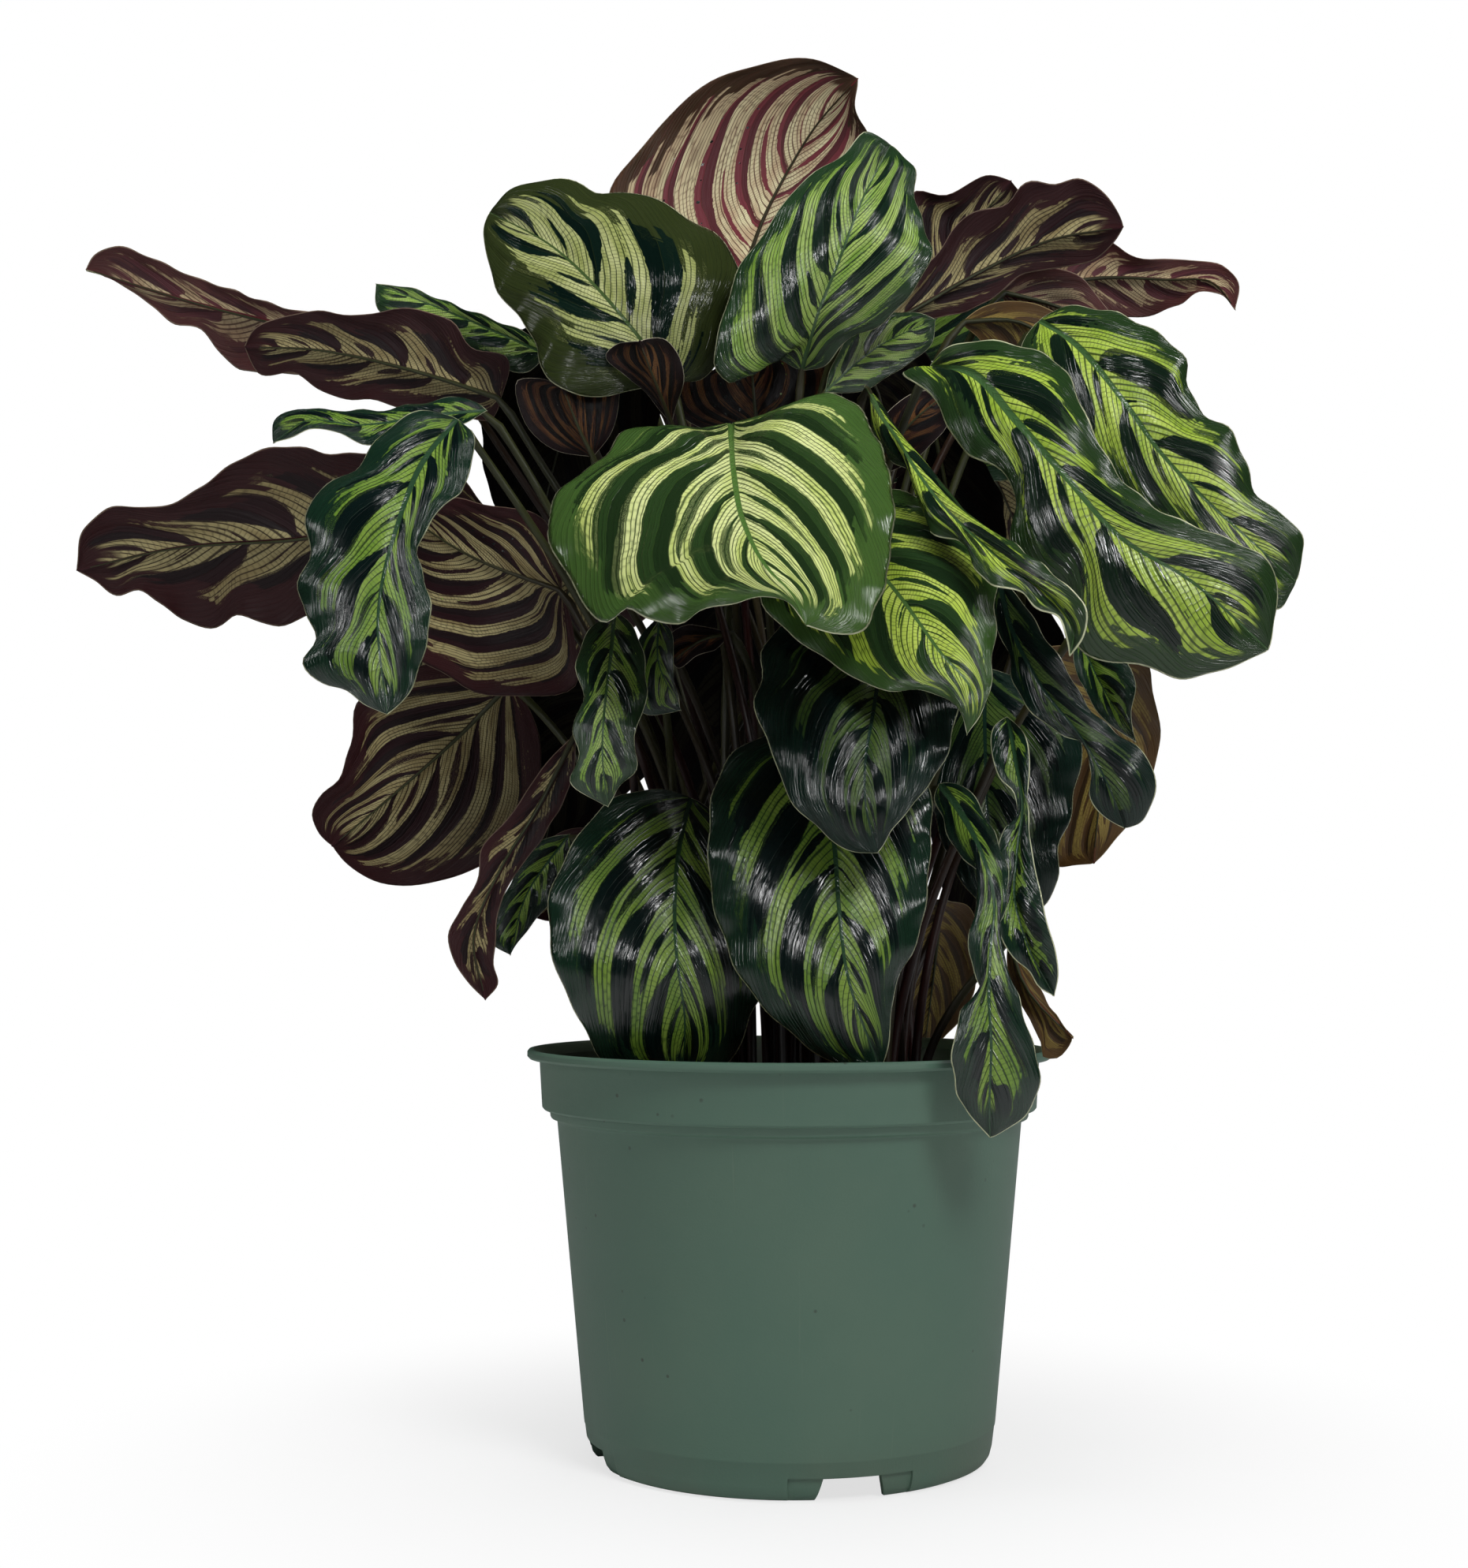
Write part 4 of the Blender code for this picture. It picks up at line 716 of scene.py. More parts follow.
# The pattern's measures are in millimetres, or shares of a leaf's length or half width, and a pair is the
# least and the most. First the distance between large blotches, the leaf length that it is for, and how the
# leaves' own numbers differ and shift them, as the side does
LEAF_PITCH = 38.0
FULL_LENGTH = 160.0
SEED_STEP = 0.618034
SEED_TURNS = 7.31
SIDE_TURNS = 0.25

# How the lines wander and the colours cloud: the waves' length along and across the leaf, and their size.
# Streaks run along the side veins, so many to the millimetre
DRIFT_SPAN = (30.0, 24.0)
DRIFT_SIZE = 8.0
TREMBLE_SPAN = (5.0, 5.0)
TREMBLE_SIZE = 1.3
CLOUD_SPAN = (12.0, 12.0)
MOTTLE_SPAN = (2.6, 2.6)
STREAKS_ALONG = 0.9
STREAKS_ACROSS = 0.09

# Large blotches: where they start and end, their widest place, and how their width varies
BLOTCH_START = 0.01
BLOTCH_END = (0.7, 0.86)
BLOTCH_STAGGER = 0.015
BLOTCH_WIDEST = 0.55
BLOTCH_SWELL = 1.25
BLOTCH_SIZE = (0.8, 1.2)
BLOTCH_TAIL = (0.6, 1.4)
BLOTCH_FRAY = 0.4

# Small blotches between them, of which some are missing
SMALL_START = 0.05
SMALL_END = (0.2, 0.4)
SMALL_SKEW = 0.85
SMALL_FULLNESS = 0.6
SMALL_SIZE = (2.0, 4.6)
SMALL_MISSING = 0.25
SMALL_FRAY = 0.3
MARK_BLUR = 0.2

# The dark neck that joins each blotch to the rib: where it thins out, its thin and its thick end, and how
# much thinner a small blotch's neck is
NECK_THINS = (0.04, 0.3)
NECK_SIZE = (0.45, 2.05)
SMALL_NECK_SHARE = 0.4
SMALL_NECK_LOSS = 0.2

# The green margin: how much wider it is at the leaf's base and up to where, the most of the half width that
# it takes, and how its inner end steps from strip to strip and frays along the hatching
MARGIN_AT_BASE = 1.9
MARGIN_BASE_ENDS = 0.3
MARGIN_MOST = 0.38
MARGIN_STAGGER = (0.75, 1.55)
MARGIN_FRAY = 1.1
MARGIN_BLUR = 0.3
TIP_STAGGER = 0.05
TIP_FIELD = (0.92, 0.95)
RIB_TAPER = 1.2
RIB_CLEAR = (-0.1, 0.2)

# Fine lines: the veins between the strips, the hatching inside them and the vein down each blotch
LINE_WEIGHT = (0.55, 1.35)
LINE_SPREAD = 3.0
LINE_CORE = 0.35
HATCH_PITCH = 1.7
HATCH_ACROSS = 1.64
HATCH_ALONG = 0.77
HATCH_LINE = (0.08, 0.4)
HATCH_STRENGTH = (0.3, 1.0)
VEIN_LINE = (0.1, 0.4)
# How soft the edge of the painted shade is at each large blotch's vein
PAINTED_SHADE_EDGE = 0.6
RIB_EDGE = (-0.3, 0.15)
# How wide the pale rim is; it is partly the leaf's own pale edge and partly a painted highlight
RIM_EDGE = (0.35, 0.7)

# Where the ground turns to its shade and the green to the blotches' colour, as steps of noise, and how much
# each mark colours what lies under it
SHADE_CLOUDS = (0.35, 0.7)
GREEN_STREAKS = (0.3, 0.8)
SHADE_AT_MARGIN = 0.6
SHADE_REACH = 2.6
STREAK_SHARE = 0.3
# Painted shade: the half of each large blotch towards the tip is darkened nearly to black, as the shading of
# its quilting
PAINTED_SHADE_SHARE = 0.45
PAINTED_SHADE_COLOUR = (0.0, 0.002, 0.002)
VEIN_SHARE = 0.45
LINE_SHARE = 0.9
HATCH_SHARE = 0.55

# The relief and the gloss: how far each mark stands up or lies deep, and how matt the pale bands are
STREAK_HEIGHT = 1.1
LINE_DEPTH = 0.7
VEIN_DEPTH = 1.2
HATCH_DEPTH = 0.2
MOTTLE_HEIGHT = 0.5
PALE_ROUGHNESS = 0.1
CLOUD_ROUGHNESS = 0.06


class Draw(Enum):
    """What sets of random numbers are drawn for, each with a number that keeps the sets apart."""

    NOISE = 9.0
    STREAK = 3.0
    CLOUD = 5.0
    STRIP = 31.0
    HATCH = 11.0
    BLOTCH = 53.0
    SMALL = 17.0
    LINE = 71.0


class PeacockPattern:
    """The peacock pattern: pale bands between dark blotches that lie along the side veins, by turns large
    and small, inside a green margin with a thin pale rim, which is partly the leaf's own pale edge and partly
    a painted highlight. The half of each large blotch towards the tip is darkened as painted shade.

    Leaf map gives (how far along the leaf the point's side vein leaves the rib, reach from the rib with its
    side as the sign, distance to the margin), in millimetres. Leaf share gives (share of the length, share
    of the half width, the leaf's own random number).
    """

    def __init__(self) -> None:
        """Builds the group: the fields that more than one mark reads, then the marks and the colours."""
        self.tree = bpy.data.node_groups.new("peacock pattern", "ShaderNodeTree")
        for way, sockets in (("INPUT", PATTERN_INPUTS), ("OUTPUT", PATTERN_OUTPUTS)):
            for label, kind in sockets.items():
                self.tree.interface.new_socket(label, in_out=way, socket_type=f"NodeSocket{kind}")
        self.wiring = nodes = Wiring(self.tree)
        self.given = nodes.node("NodeGroupInput").outputs
        self.lateral, self.reach, self.edge = nodes.parts(self.given["Leaf map"])
        self.along, self.across, self.seed = nodes.parts(self.given["Leaf share"])
        self.side, self.out = self.reach.to("SIGN"), abs(self.reach)
        self.pitch, self.strip_pitch = self.number("Pitch"), self.number("Strip pitch")
        drift = self.waves(*DRIFT_SPAN, Draw.NOISE) - 0.5
        tremble = self.waves(*TREMBLE_SPAN, Draw.NOISE) - 0.5
        self.station = self.lateral + drift * DRIFT_SIZE + tremble * TREMBLE_SIZE
        self.turns = self.station / self.pitch + self.seed * SEED_TURNS + self.side * SIDE_TURNS
        self.strips = self.station / self.strip_pitch
        strip = self.strips.to("FLOOR")
        self.strip_dice = self.dice(strip, self.side, Draw.STRIP)
        self.hatching = (
            (self.out * HATCH_ACROSS + self.lateral * HATCH_ALONG) / HATCH_PITCH + self.strip_dice[1]
        )
        self.hatch_dice = self.dice(self.hatching.to("FLOOR"), strip, Draw.HATCH)
        self.neck = (1.0 - nodes.step(self.across, *NECK_THINS)).between(*NECK_SIZE)
        self.rib_half = self.number("Rib width") * (RIB_TAPER - self.along)
        self.paint()

    def number(self, label: str) -> Number:
        """One of the group's inputs as a number."""
        return Number(self.wiring, self.given[label])

    def waves(self, along: float, across: float, draw: Draw, detail: float = 2.0) -> Number:
        """Noise whose waves have these lengths along and across the leaf."""
        spot = self.wiring.vector(self.lateral / along, self.reach / across, self.seed * draw.value)
        return self.wiring.noise(spot, detail=detail)

    def dice(self, count: Number, row: Number, draw: Draw) -> list[Number]:
        """Three random numbers for each place of two counts, which differ from leaf to leaf."""
        return self.wiring.dice(count, row, self.seed * draw.value)

    def streaks(self) -> Number:
        """Noise drawn out along the side veins."""
        x, y = self.station * STREAKS_ALONG, self.out * STREAKS_ACROSS
        return self.wiring.noise(self.wiring.vector(x, y, self.seed * Draw.STREAK.value))

    def large_blotches(self) -> tuple[Number, Number]:
        """The large blotches: each lies along a side vein, swells by a sine to its widest place and narrows
        by a parabola to its tail.

        Returns:
            Where they are, and the distance to a blotch's own vein, with its side as the sign.
        """
        number = self.turns.to("ROUND")
        beside = (self.turns - number) * self.pitch
        size, end, tail = self.dice(number, self.side, Draw.BLOTCH)
        end = end.between(*BLOTCH_END) + self.strip_dice[0].about(BLOTCH_STAGGER)
        share = ((self.across - BLOTCH_START) / end).clamped()
        rise = (share / BLOTCH_WIDEST).to("MINIMUM", 1.0)
        fall = ((share - BLOTCH_WIDEST) / (1.0 - BLOTCH_WIDEST)).to("MAXIMUM", 0.0)
        tail = tail.between(*BLOTCH_TAIL) * self.number("Tail")
        swell = (rise * (math.pi / 2)).to("SINE") ** BLOTCH_SWELL
        bulge = swell * (1.0 - fall * fall * (1.0 - tail.to("MINIMUM", 1.0)))
        half = (bulge * self.number("Blotch width") * size.between(*BLOTCH_SIZE)).to("MAXIMUM", self.neck)
        frayed = half - abs(beside) + self.hatch_dice[0].about(BLOTCH_FRAY)
        return self.wiring.step(frayed, -MARK_BLUR, MARK_BLUR), beside

    def small_blotches(self) -> Number:
        """The small blotches: each lies between two large ones, near the rib, and is a skewed half-wave.

        Returns:
            Where they are.
        """
        turns = self.turns + 0.5
        number = turns.to("ROUND")
        away = abs(turns - number) * self.pitch
        size, end, chance = self.dice(number, self.side, Draw.SMALL)
        share = ((self.across - SMALL_START) / end.between(*SMALL_END)).clamped()
        bulge = ((share ** SMALL_SKEW) * math.pi).to("SINE").to("MAXIMUM", 0.0) ** SMALL_FULLNESS
        there = chance.to("GREATER_THAN", SMALL_MISSING)
        neck = self.neck * SMALL_NECK_SHARE - SMALL_NECK_LOSS
        half = (bulge * size.between(*SMALL_SIZE) * there).to("MAXIMUM", neck)
        frayed = half - away + self.hatch_dice[1].about(SMALL_FRAY)
        return self.wiring.step(frayed, -MARK_BLUR, MARK_BLUR)

    def field(self) -> tuple[Number, Number]:
        """The field inside the green margin, which leaves out the tip and the rib.

        Returns:
            Where it is, and the margin's width.
        """
        step = self.wiring.step
        wider = step(self.along, MARGIN_BASE_ENDS, 0.0).between(1.0, MARGIN_AT_BASE)
        margin = (self.number("Margin width") * wider).to("MINIMUM", (self.out + self.edge) * MARGIN_MOST)
        end = margin * self.strip_dice[2].between(*MARGIN_STAGGER) + self.hatch_dice[2].about(MARGIN_FRAY)
        inside = step(self.edge - end, -MARGIN_BLUR, MARGIN_BLUR)
        inside = inside * (1.0 - step(self.along + self.strip_dice[2] * TIP_STAGGER, *TIP_FIELD))
        return inside * step(self.out - self.rib_half, *RIB_CLEAR), margin

    def lines(self) -> tuple[Number, Number]:
        """The fine veins between the strips, each with a weight of its own, and the hatching inside them.

        Returns:
            Where each of the two is.
        """
        step = self.wiring.step
        drawn = self.dice(self.strips.to("ROUND"), self.side, Draw.LINE)[0]
        weight = (drawn ** LINE_SPREAD).between(*LINE_WEIGHT)
        line = 1.0 - step(self.strips.to_whole() * self.strip_pitch, weight * LINE_CORE, weight)
        hatch = 1.0 - step(self.hatching.to_whole() * HATCH_PITCH, *HATCH_LINE)
        return line, hatch * self.hatch_dice[1].between(*HATCH_STRENGTH)

    def paint(self) -> None:
        """Lays the marks over each other, from the ground to the rim, and puts out the group's results."""
        step, mix, given = self.wiring.step, self.wiring.mix, self.given
        large, beside = self.large_blotches()
        dark = large.to("MAXIMUM", self.small_blotches())
        inside, margin = self.field()
        pale = inside * (1.0 - dark)
        line, hatch = self.lines()
        vein = (1.0 - step(abs(beside), *VEIN_LINE)) * large
        # The half of each large blotch towards the tip, which gets painted shade
        painted_shade = step(beside, -PAINTED_SHADE_EDGE, PAINTED_SHADE_EDGE) * large
        streak = self.streaks()
        cloud = self.waves(*CLOUD_SPAN, Draw.CLOUD, detail=3.0)
        mottle = self.waves(*MOTTLE_SPAN, Draw.CLOUD, detail=1.0)

        ground = mix(step(cloud, *SHADE_CLOUDS), given["Ground"], given["Ground shade"])
        shade = step(self.edge, margin * SHADE_REACH, margin) * SHADE_AT_MARGIN
        ground = mix(shade, ground, given["Ground shade"])
        green = mix(step(streak, *GREEN_STREAKS) * STREAK_SHARE, given["Margin"], given["Blotch"])
        colour = mix(pale, green, ground)
        colour = mix(dark * inside, colour, given["Blotch"])
        # Painted shade, nearly black, on that half of each large blotch
        colour = mix(painted_shade * inside * PAINTED_SHADE_SHARE, colour, PAINTED_SHADE_COLOUR)
        colour = mix(vein * VEIN_SHARE, colour, given["Margin"])
        colour = mix(line * pale * LINE_SHARE, colour, given["Line"])
        colour = mix(hatch * pale * HATCH_SHARE, colour, given["Line"])
        colour = mix(1.0 - step(self.out - self.rib_half, *RIB_EDGE), colour, given["Rib"])
        # The pale rim: partly the leaf's own edge colour, partly a painted highlight along the margin
        colour = mix(1.0 - step(self.edge, *RIM_EDGE), colour, given["Rim"])
        deep = line * LINE_DEPTH + vein * VEIN_DEPTH + hatch * pale * HATCH_DEPTH
        height = streak * STREAK_HEIGHT - deep + cloud + mottle * MOTTLE_HEIGHT
        rough = pale * PALE_ROUGHNESS + cloud * CLOUD_ROUGHNESS
        self.wiring.node("NodeGroupOutput", {"Color": colour, "Height": height, "Roughness": rough})


@dataclass(frozen=True)
class BladeFinish:
    """The finish of one side of a leaf blade: its pattern's colours as a screen shows them, from 0 to 255,
    and the pattern's sizes in millimetres. relief is how strongly its fine relief shows, and shine its
    specular level."""

    name: str
    ground: Shade
    ground_shade: Shade
    blotch: Shade
    margin: Shade
    line: Shade
    rib: Shade
    # The rim colour is partly the edge's own pale colour and partly a painted highlight
    rim: Shade = (205, 208, 170)
    pitch: float = LEAF_PITCH
    strip_pitch: float = 4.2
    blotch_width: float = 9.0
    tail: float = 0.3
    margin_width: float = 9.0
    rib_width: float = 1.3
    roughness: float = 0.1
    relief: float = 0.5
    relief_depth: float = 0.6
    shine: float = 0.5

    def material(self, pattern: PeacockPattern) -> bpy.types.Material:
        """The material of this side.

        Args:
            pattern: the peacock pattern's group.

        Returns:
            The material, which reads the blade's two attributes.
        """
        material, nodes, shader = new_material(self.name)
        drawn = nodes.node("ShaderNodeGroup", node_tree=pattern.tree)
        for label, kind in PATTERN_INPUTS.items():
            own = label.lower().replace(" ", "_")
            value = nodes.attribute(own) if own in LEAF_ATTRIBUTES else getattr(self, own)
            nodes.feed(drawn.inputs[label], tint(*value) if kind == "Color" else value)
        roughness = Number(nodes, drawn.outputs["Roughness"]) + self.roughness
        relief = Relief(drawn.outputs["Height"], self.relief, self.relief_depth * MM)
        nodes.dress(shader, drawn.outputs["Color"], roughness, relief)
        shader.inputs["Specular IOR Level"].default_value = self.shine
        return material


PALE = BladeFinish(
    "leaf pale", (214, 222, 154), (186, 200, 110), (38, 60, 28), (62, 90, 40), (46, 66, 26), (74, 108, 48),
    strip_pitch=3.7, margin_width=10.5, blotch_width=10.5, tail=0.9,
)
LIME = BladeFinish(
    "leaf lime", (178, 200, 86), (138, 166, 50), (15, 31, 20), (36, 58, 28), (34, 54, 20), (60, 90, 50),
    pitch=42.0, margin_width=8.0, blotch_width=12.5, tail=0.1, shine=0.4,
)
BRIGHT = BladeFinish(
    "leaf bright", (158, 182, 96), (112, 150, 48), (18, 36, 26), (34, 58, 32), (26, 50, 20), (56, 84, 50),
    margin_width=8.0, blotch_width=10.5, tail=0.15,
)
FRESH = BladeFinish(
    "leaf fresh", (178, 198, 86), (142, 168, 54), (34, 56, 28), (52, 80, 34), (38, 60, 22), (68, 98, 50),
    margin_width=9.5, blotch_width=11.0, tail=0.3,
)
DEEP = BladeFinish(
    "leaf deep", (126, 154, 62), (96, 130, 42), (8, 22, 20), (20, 44, 30), (20, 42, 20), (42, 70, 46),
    strip_pitch=4.6, blotch_width=11.5, margin_width=12.0, tail=0.6,
)
DARK = BladeFinish(
    "leaf dark", (74, 96, 42), (48, 72, 30), (8, 20, 18), (14, 34, 26), (18, 34, 18), (24, 46, 36),
    strip_pitch=4.6, blotch_width=13.5, margin_width=16.0, tail=0.9, shine=0.35,
)
GREY = BladeFinish(
    "leaf grey", (178, 182, 128), (140, 148, 84), (10, 26, 20), (44, 52, 24), (34, 46, 22), (62, 82, 44),
    pitch=54.0, strip_pitch=4.6, margin_width=24.0, blotch_width=14.5, tail=0.6, shine=0.25,
)
BACK = BladeFinish(
    "leaf back", (126, 156, 66), (98, 132, 44), (16, 34, 26), (28, 52, 32), (28, 50, 24), (46, 74, 46),
    blotch_width=10.5, roughness=0.24, shine=0.35,
)
MAROON = BladeFinish(
    "under maroon", (168, 158, 114), (132, 118, 80), (34, 13, 17), (48, 20, 22), (34, 20, 17), (50, 14, 21),
    (110, 92, 78), strip_pitch=4.4, blotch_width=12.0, margin_width=12.0, tail=0.3, roughness=0.42,
    shine=0.16,
)
# Painted shade: a darker copy of the maroon underside, for the back leaves deep inside the plant
SHADED = BladeFinish(
    "under shaded", (30, 28, 20), (22, 20, 15), (10, 5, 6), (12, 6, 7), (14, 9, 8), (14, 6, 7), (30, 25, 21),
    strip_pitch=4.4, blotch_width=11.0, margin_width=9.5, roughness=0.6, shine=0.05,
)
# Painted light: the ground colours are brighter than the underside's own, standing in for light shining
# through the leaf from behind
BACKLIT = BladeFinish(
    "under backlit", (216, 208, 168), (188, 164, 132), (112, 48, 56), (60, 46, 26), (96, 66, 52),
    (128, 24, 42), (120, 100, 84), roughness=0.42, blotch_width=10.0, margin_width=13.0, shine=0.2,
)
PINK = BladeFinish(
    "under pink", (184, 168, 132), (150, 124, 96), (80, 38, 44), (74, 40, 38), (66, 40, 34), (86, 28, 36),
    (130, 110, 94), roughness=0.42, blotch_width=10.0, tail=0.2, shine=0.2,
)
WINE = BladeFinish(
    "under wine", (104, 70, 38), (58, 30, 20), (14, 5, 6), (20, 7, 9), (22, 9, 8), (24, 7, 9),
    (176, 168, 148), roughness=0.36, blotch_width=13.5, tail=0.5, shine=0.15,
)
OLIVE = BladeFinish(
    "under olive", (138, 122, 62), (112, 92, 46), (70, 50, 28), (80, 58, 30), (84, 62, 32), (88, 48, 28),
    (140, 120, 80), roughness=0.42, blotch_width=10.0, shine=0.2,
)


def finish_by_leaf(*groups: tuple[BladeFinish, str]) -> dict[str, BladeFinish]:
    """Which finish each leaf has, by its short name, from each finish with its leaves."""
    return {short: finish for finish, leaves in groups for short in leaves.split()}


UPPER_FINISHES = finish_by_leaf(
    (PALE, "front_centre"),
    (GREY, "top_left"),
    (BRIGHT, "top_right left_top_rear inner_left inner_glossy"),
    (LIME, "right_lime_rear right_lime_front right_strip"),
    (FRESH, "front_right"),
    (DARK, "front_hanging right_dark right_folded"),
)
UNDER_FINISHES = finish_by_leaf(
    (BACKLIT, "top_back"),
    (PINK, "right_pink right_rear_tip left_top_far"),
    (OLIVE, "right_olive right_backlit low_behind_pot low_dry"),
    (WINE, "cup_left cup_upright cup_centre inner_dark inner_curl"),
    (SHADED, "back_low_left back_low_centre back_low_right back_inner_left back_inner_right back_side_low"),
)

# The stalk's streaks and flecks: their length in millimetres and how often they come round it
STREAK_LENGTH = 22.0
STREAKS_ROUND = 1.5
FLECK_LENGTH = 2.5
FLECKS_ROUND = 3.0


def stalk_material() -> bpy.types.Material:
    """The stalks: red-brown, streaked along their length and greener towards the blade.

    Returns:
        The material, which reads how far up the stalk and how far round it a point is.
    """
    material, nodes, shader = new_material("leaf stalk")
    lengthwise, turn, _ = nodes.parts(nodes.attribute("leaf_map"))
    share, _, seed = nodes.parts(nodes.attribute("leaf_share"))
    own = seed * Draw.CLOUD.value
    streak = nodes.noise(nodes.vector(lengthwise / STREAK_LENGTH, turn * STREAKS_ROUND, own), detail=4.0)
    fleck = nodes.noise(nodes.vector(lengthwise / FLECK_LENGTH, turn * FLECKS_ROUND, own), detail=3.0)
    # The red and the green are darker than the stalks' own colour, as painted shade for the inside of the
    # plant
    red = nodes.mix(streak, tint(20, 8, 8), tint(48, 21, 18))
    green = nodes.mix(streak, tint(30, 32, 17), tint(56, 60, 30))
    colour = nodes.mix(nodes.step(share + seed.about(0.4), 0.2, 1.1), red, green)
    colour = nodes.mix(nodes.step(fleck, 0.62, 0.8) * 0.4, colour, tint(40, 22, 18))
    nodes.dress(shader, colour, fleck.between(0.34, 0.54), Relief(streak + fleck * 0.4, 0.5, 0.5 * MM))
    shader.inputs["Specular IOR Level"].default_value = 0.25
    return material


class Finishes:
    """The leaf materials, each made when it is first asked for."""

    def __init__(self) -> None:
        """Makes the pattern's group and the stalk's material."""
        self.pattern = PeacockPattern()
        self.made: dict[str, bpy.types.Material] = {}
        self.stalk = stalk_material()

    def blade(self, finish: BladeFinish) -> bpy.types.Material:
        """The material of one blade finish."""
        if finish.name not in self.made:
            self.made[finish.name] = finish.material(self.pattern)
        return self.made[finish.name]


# Curves

def unit(vectors: np.ndarray) -> np.ndarray:
    """The vectors at length 1, and a vector with no length as it is."""
    return vectors / np.maximum(np.linalg.norm(vectors, axis=-1, keepdims=True), LEAST_LENGTH)


def smooth_curve(points: object, shares: np.ndarray) -> np.ndarray:
    """Points on a smooth curve: one cubic between each two points, whose ends take the slope around them.

    Args:
        points: the points that the curve runs through.
        shares: how far along the curve each wanted point lies, from 0 to 1.

    Returns:
        The wanted points, a row each.
    """
    points = np.asarray(points, float)
    steps = np.linalg.norm(np.diff(points, axis=0), axis=1)
    knots = np.concatenate([[0.0], np.cumsum(steps)]) / steps.sum()
    slopes = np.gradient(points, knots, axis=0)
    piece = np.clip(np.searchsorted(knots, shares, side="right") - 1, 0, len(steps) - 1)
    span = (knots[piece + 1] - knots[piece])[:, None]
    t = (np.asarray(shares)[:, None] - knots[piece][:, None]) / span
    start, end = points[piece], points[piece + 1]
    leave, arrive = slopes[piece] * span, slopes[piece + 1] * span
    return (
        (2 * t**3 - 3 * t**2 + 1) * start
        + (t**3 - 2 * t**2 + t) * leave
        + (3 * t**2 - 2 * t**3) * end
        + (t**3 - t**2) * arrive
    )


def bow(points: tuple, shares: np.ndarray) -> np.ndarray:
    """Points on one cubic that leaves its first point towards the second and meets its fourth from the
    third.

    Args:
        points: the four points.
        shares: how far along the curve each wanted point lies, from 0 to 1.

    Returns:
        The wanted points, a row each.
    """
    first, second, third, fourth = points
    t = np.asarray(shares)[:, None]
    return (1 - t) ** 3 * first + 3 * (1 - t) ** 2 * t * second + 3 * (1 - t) * t**2 * third + t**3 * fourth


def path_length(path: np.ndarray) -> np.ndarray:
    """How far along a path each of its points lies."""
    return np.concatenate([[0.0], np.cumsum(np.linalg.norm(np.diff(path, axis=0), axis=1))])


def sight(drawn: np.ndarray) -> np.ndarray:
    """The real place of points drawn as (across, up, depth), moved along the line of sight from the eye.

    Args:
        drawn: the points, a row each.

    Returns:
        Their places, a row each.
    """
    nearer = 1 + drawn[:, 2] / EYE_DISTANCE
    return np.column_stack([
        drawn[:, 0] * nearer,
        drawn[:, 2],
        EYE_HEIGHT + (drawn[:, 1] - EYE_HEIGHT) * nearer,
    ])


# Meshes

def add_piece(
    name: str, points: np.ndarray, faces: list, materials: list, indices: object = 0,
) -> bpy.types.Object:
    """A piece at the origin, from points in millimetres.

    Args:
        name: the piece's name.
        points: the corners, a row each.
        faces: the corners of each face.
        materials: the piece's materials.
        indices: the number of each face's material, or one number for all.

    Returns:
        The piece, shaded smooth.
    """
    mesh = bpy.data.meshes.new(name)
    mesh.from_pydata(np.asarray(points) * MM, [], faces)
    for material in materials:
        mesh.materials.append(material)
    chosen = np.broadcast_to(np.asarray(indices, np.int32), len(mesh.polygons))
    mesh.polygons.foreach_set("material_index", np.ascontiguousarray(chosen))
    mesh.shade_smooth()
    piece = bpy.data.objects.new(name, mesh)
    bpy.context.scene.collection.objects.link(piece)
    return piece


def add_attribute(piece: bpy.types.Object, name: str, values: np.ndarray) -> None:
    """Gives each corner of a piece three numbers of its own."""
    attribute = piece.data.attributes.new(name, "FLOAT_VECTOR", "POINT")
    attribute.data.foreach_set("vector", np.asarray(values, np.float32).ravel())


def loop_faces(rings: int, sides: int) -> list:
    """The four-cornered faces between closed rings of corners that follow each other.

    Args:
        rings, sides: how many rings there are, and how many corners each has.

    Returns:
        The corners of each face, ring by ring.
    """
    ring, side = np.meshgrid(np.arange(rings - 1), np.arange(sides), indexing="ij")
    low = ring * sides
    after = (side + 1) % sides
    faces = np.stack([low + side, low + after, low + sides + after, low + sides + side], axis=-1)
    return faces.reshape(-1, 4).tolist()


def fan_faces(pole: int, start: int, sides: int, turned: bool) -> list:
    """The triangles that close a ring of corners onto one pole.

    Args:
        pole: the number of the pole's corner.
        start: the number of the ring's first corner.
        sides: how many corners the ring has.
        turned: whether the triangles run the other way round.

    Returns:
        The corners of each triangle.
    """
    side = np.arange(sides)
    first, second = start + side, start + (side + 1) % sides
    pair = (second, first) if turned else (first, second)
    return np.column_stack([*pair, np.full(sides, pole)]).tolist()


def closed_faces(rings: int, sides: int) -> list:
    """The faces of a closed skin: rings of corners, and after them one pole for each end.

    Args:
        rings, sides: how many rings there are, and how many corners each has.

    Returns:
        The corners of each face: those between the rings, those at the first end and those at the last.
    """
    count = rings * sides
    return (
        loop_faces(rings, sides)
        + fan_faces(count, 0, sides, True)
        + fan_faces(count + 1, count - sides, sides, False)
    )


# Leaves: the fine blade's rows and columns, how much they crowd at its ends and edges, and its thickness
ROW_STEP = 2.3
FEWEST_FINE_ROWS = 26
MOST_FINE_ROWS = 104
ACROSS_STEPS = 40
LENGTH_STEPS = 60
EDGE_CROWD = 0.35
END_CROWD = 0.45
NEAR_END = 0.004
THICKNESS = 0.5
EDGE_ROUNDING = 8
POLE_REACH = 0.5

# How much smaller and larger the pattern may be on a long and on a short leaf
PATTERN_SCALE = (0.7, 2.5)

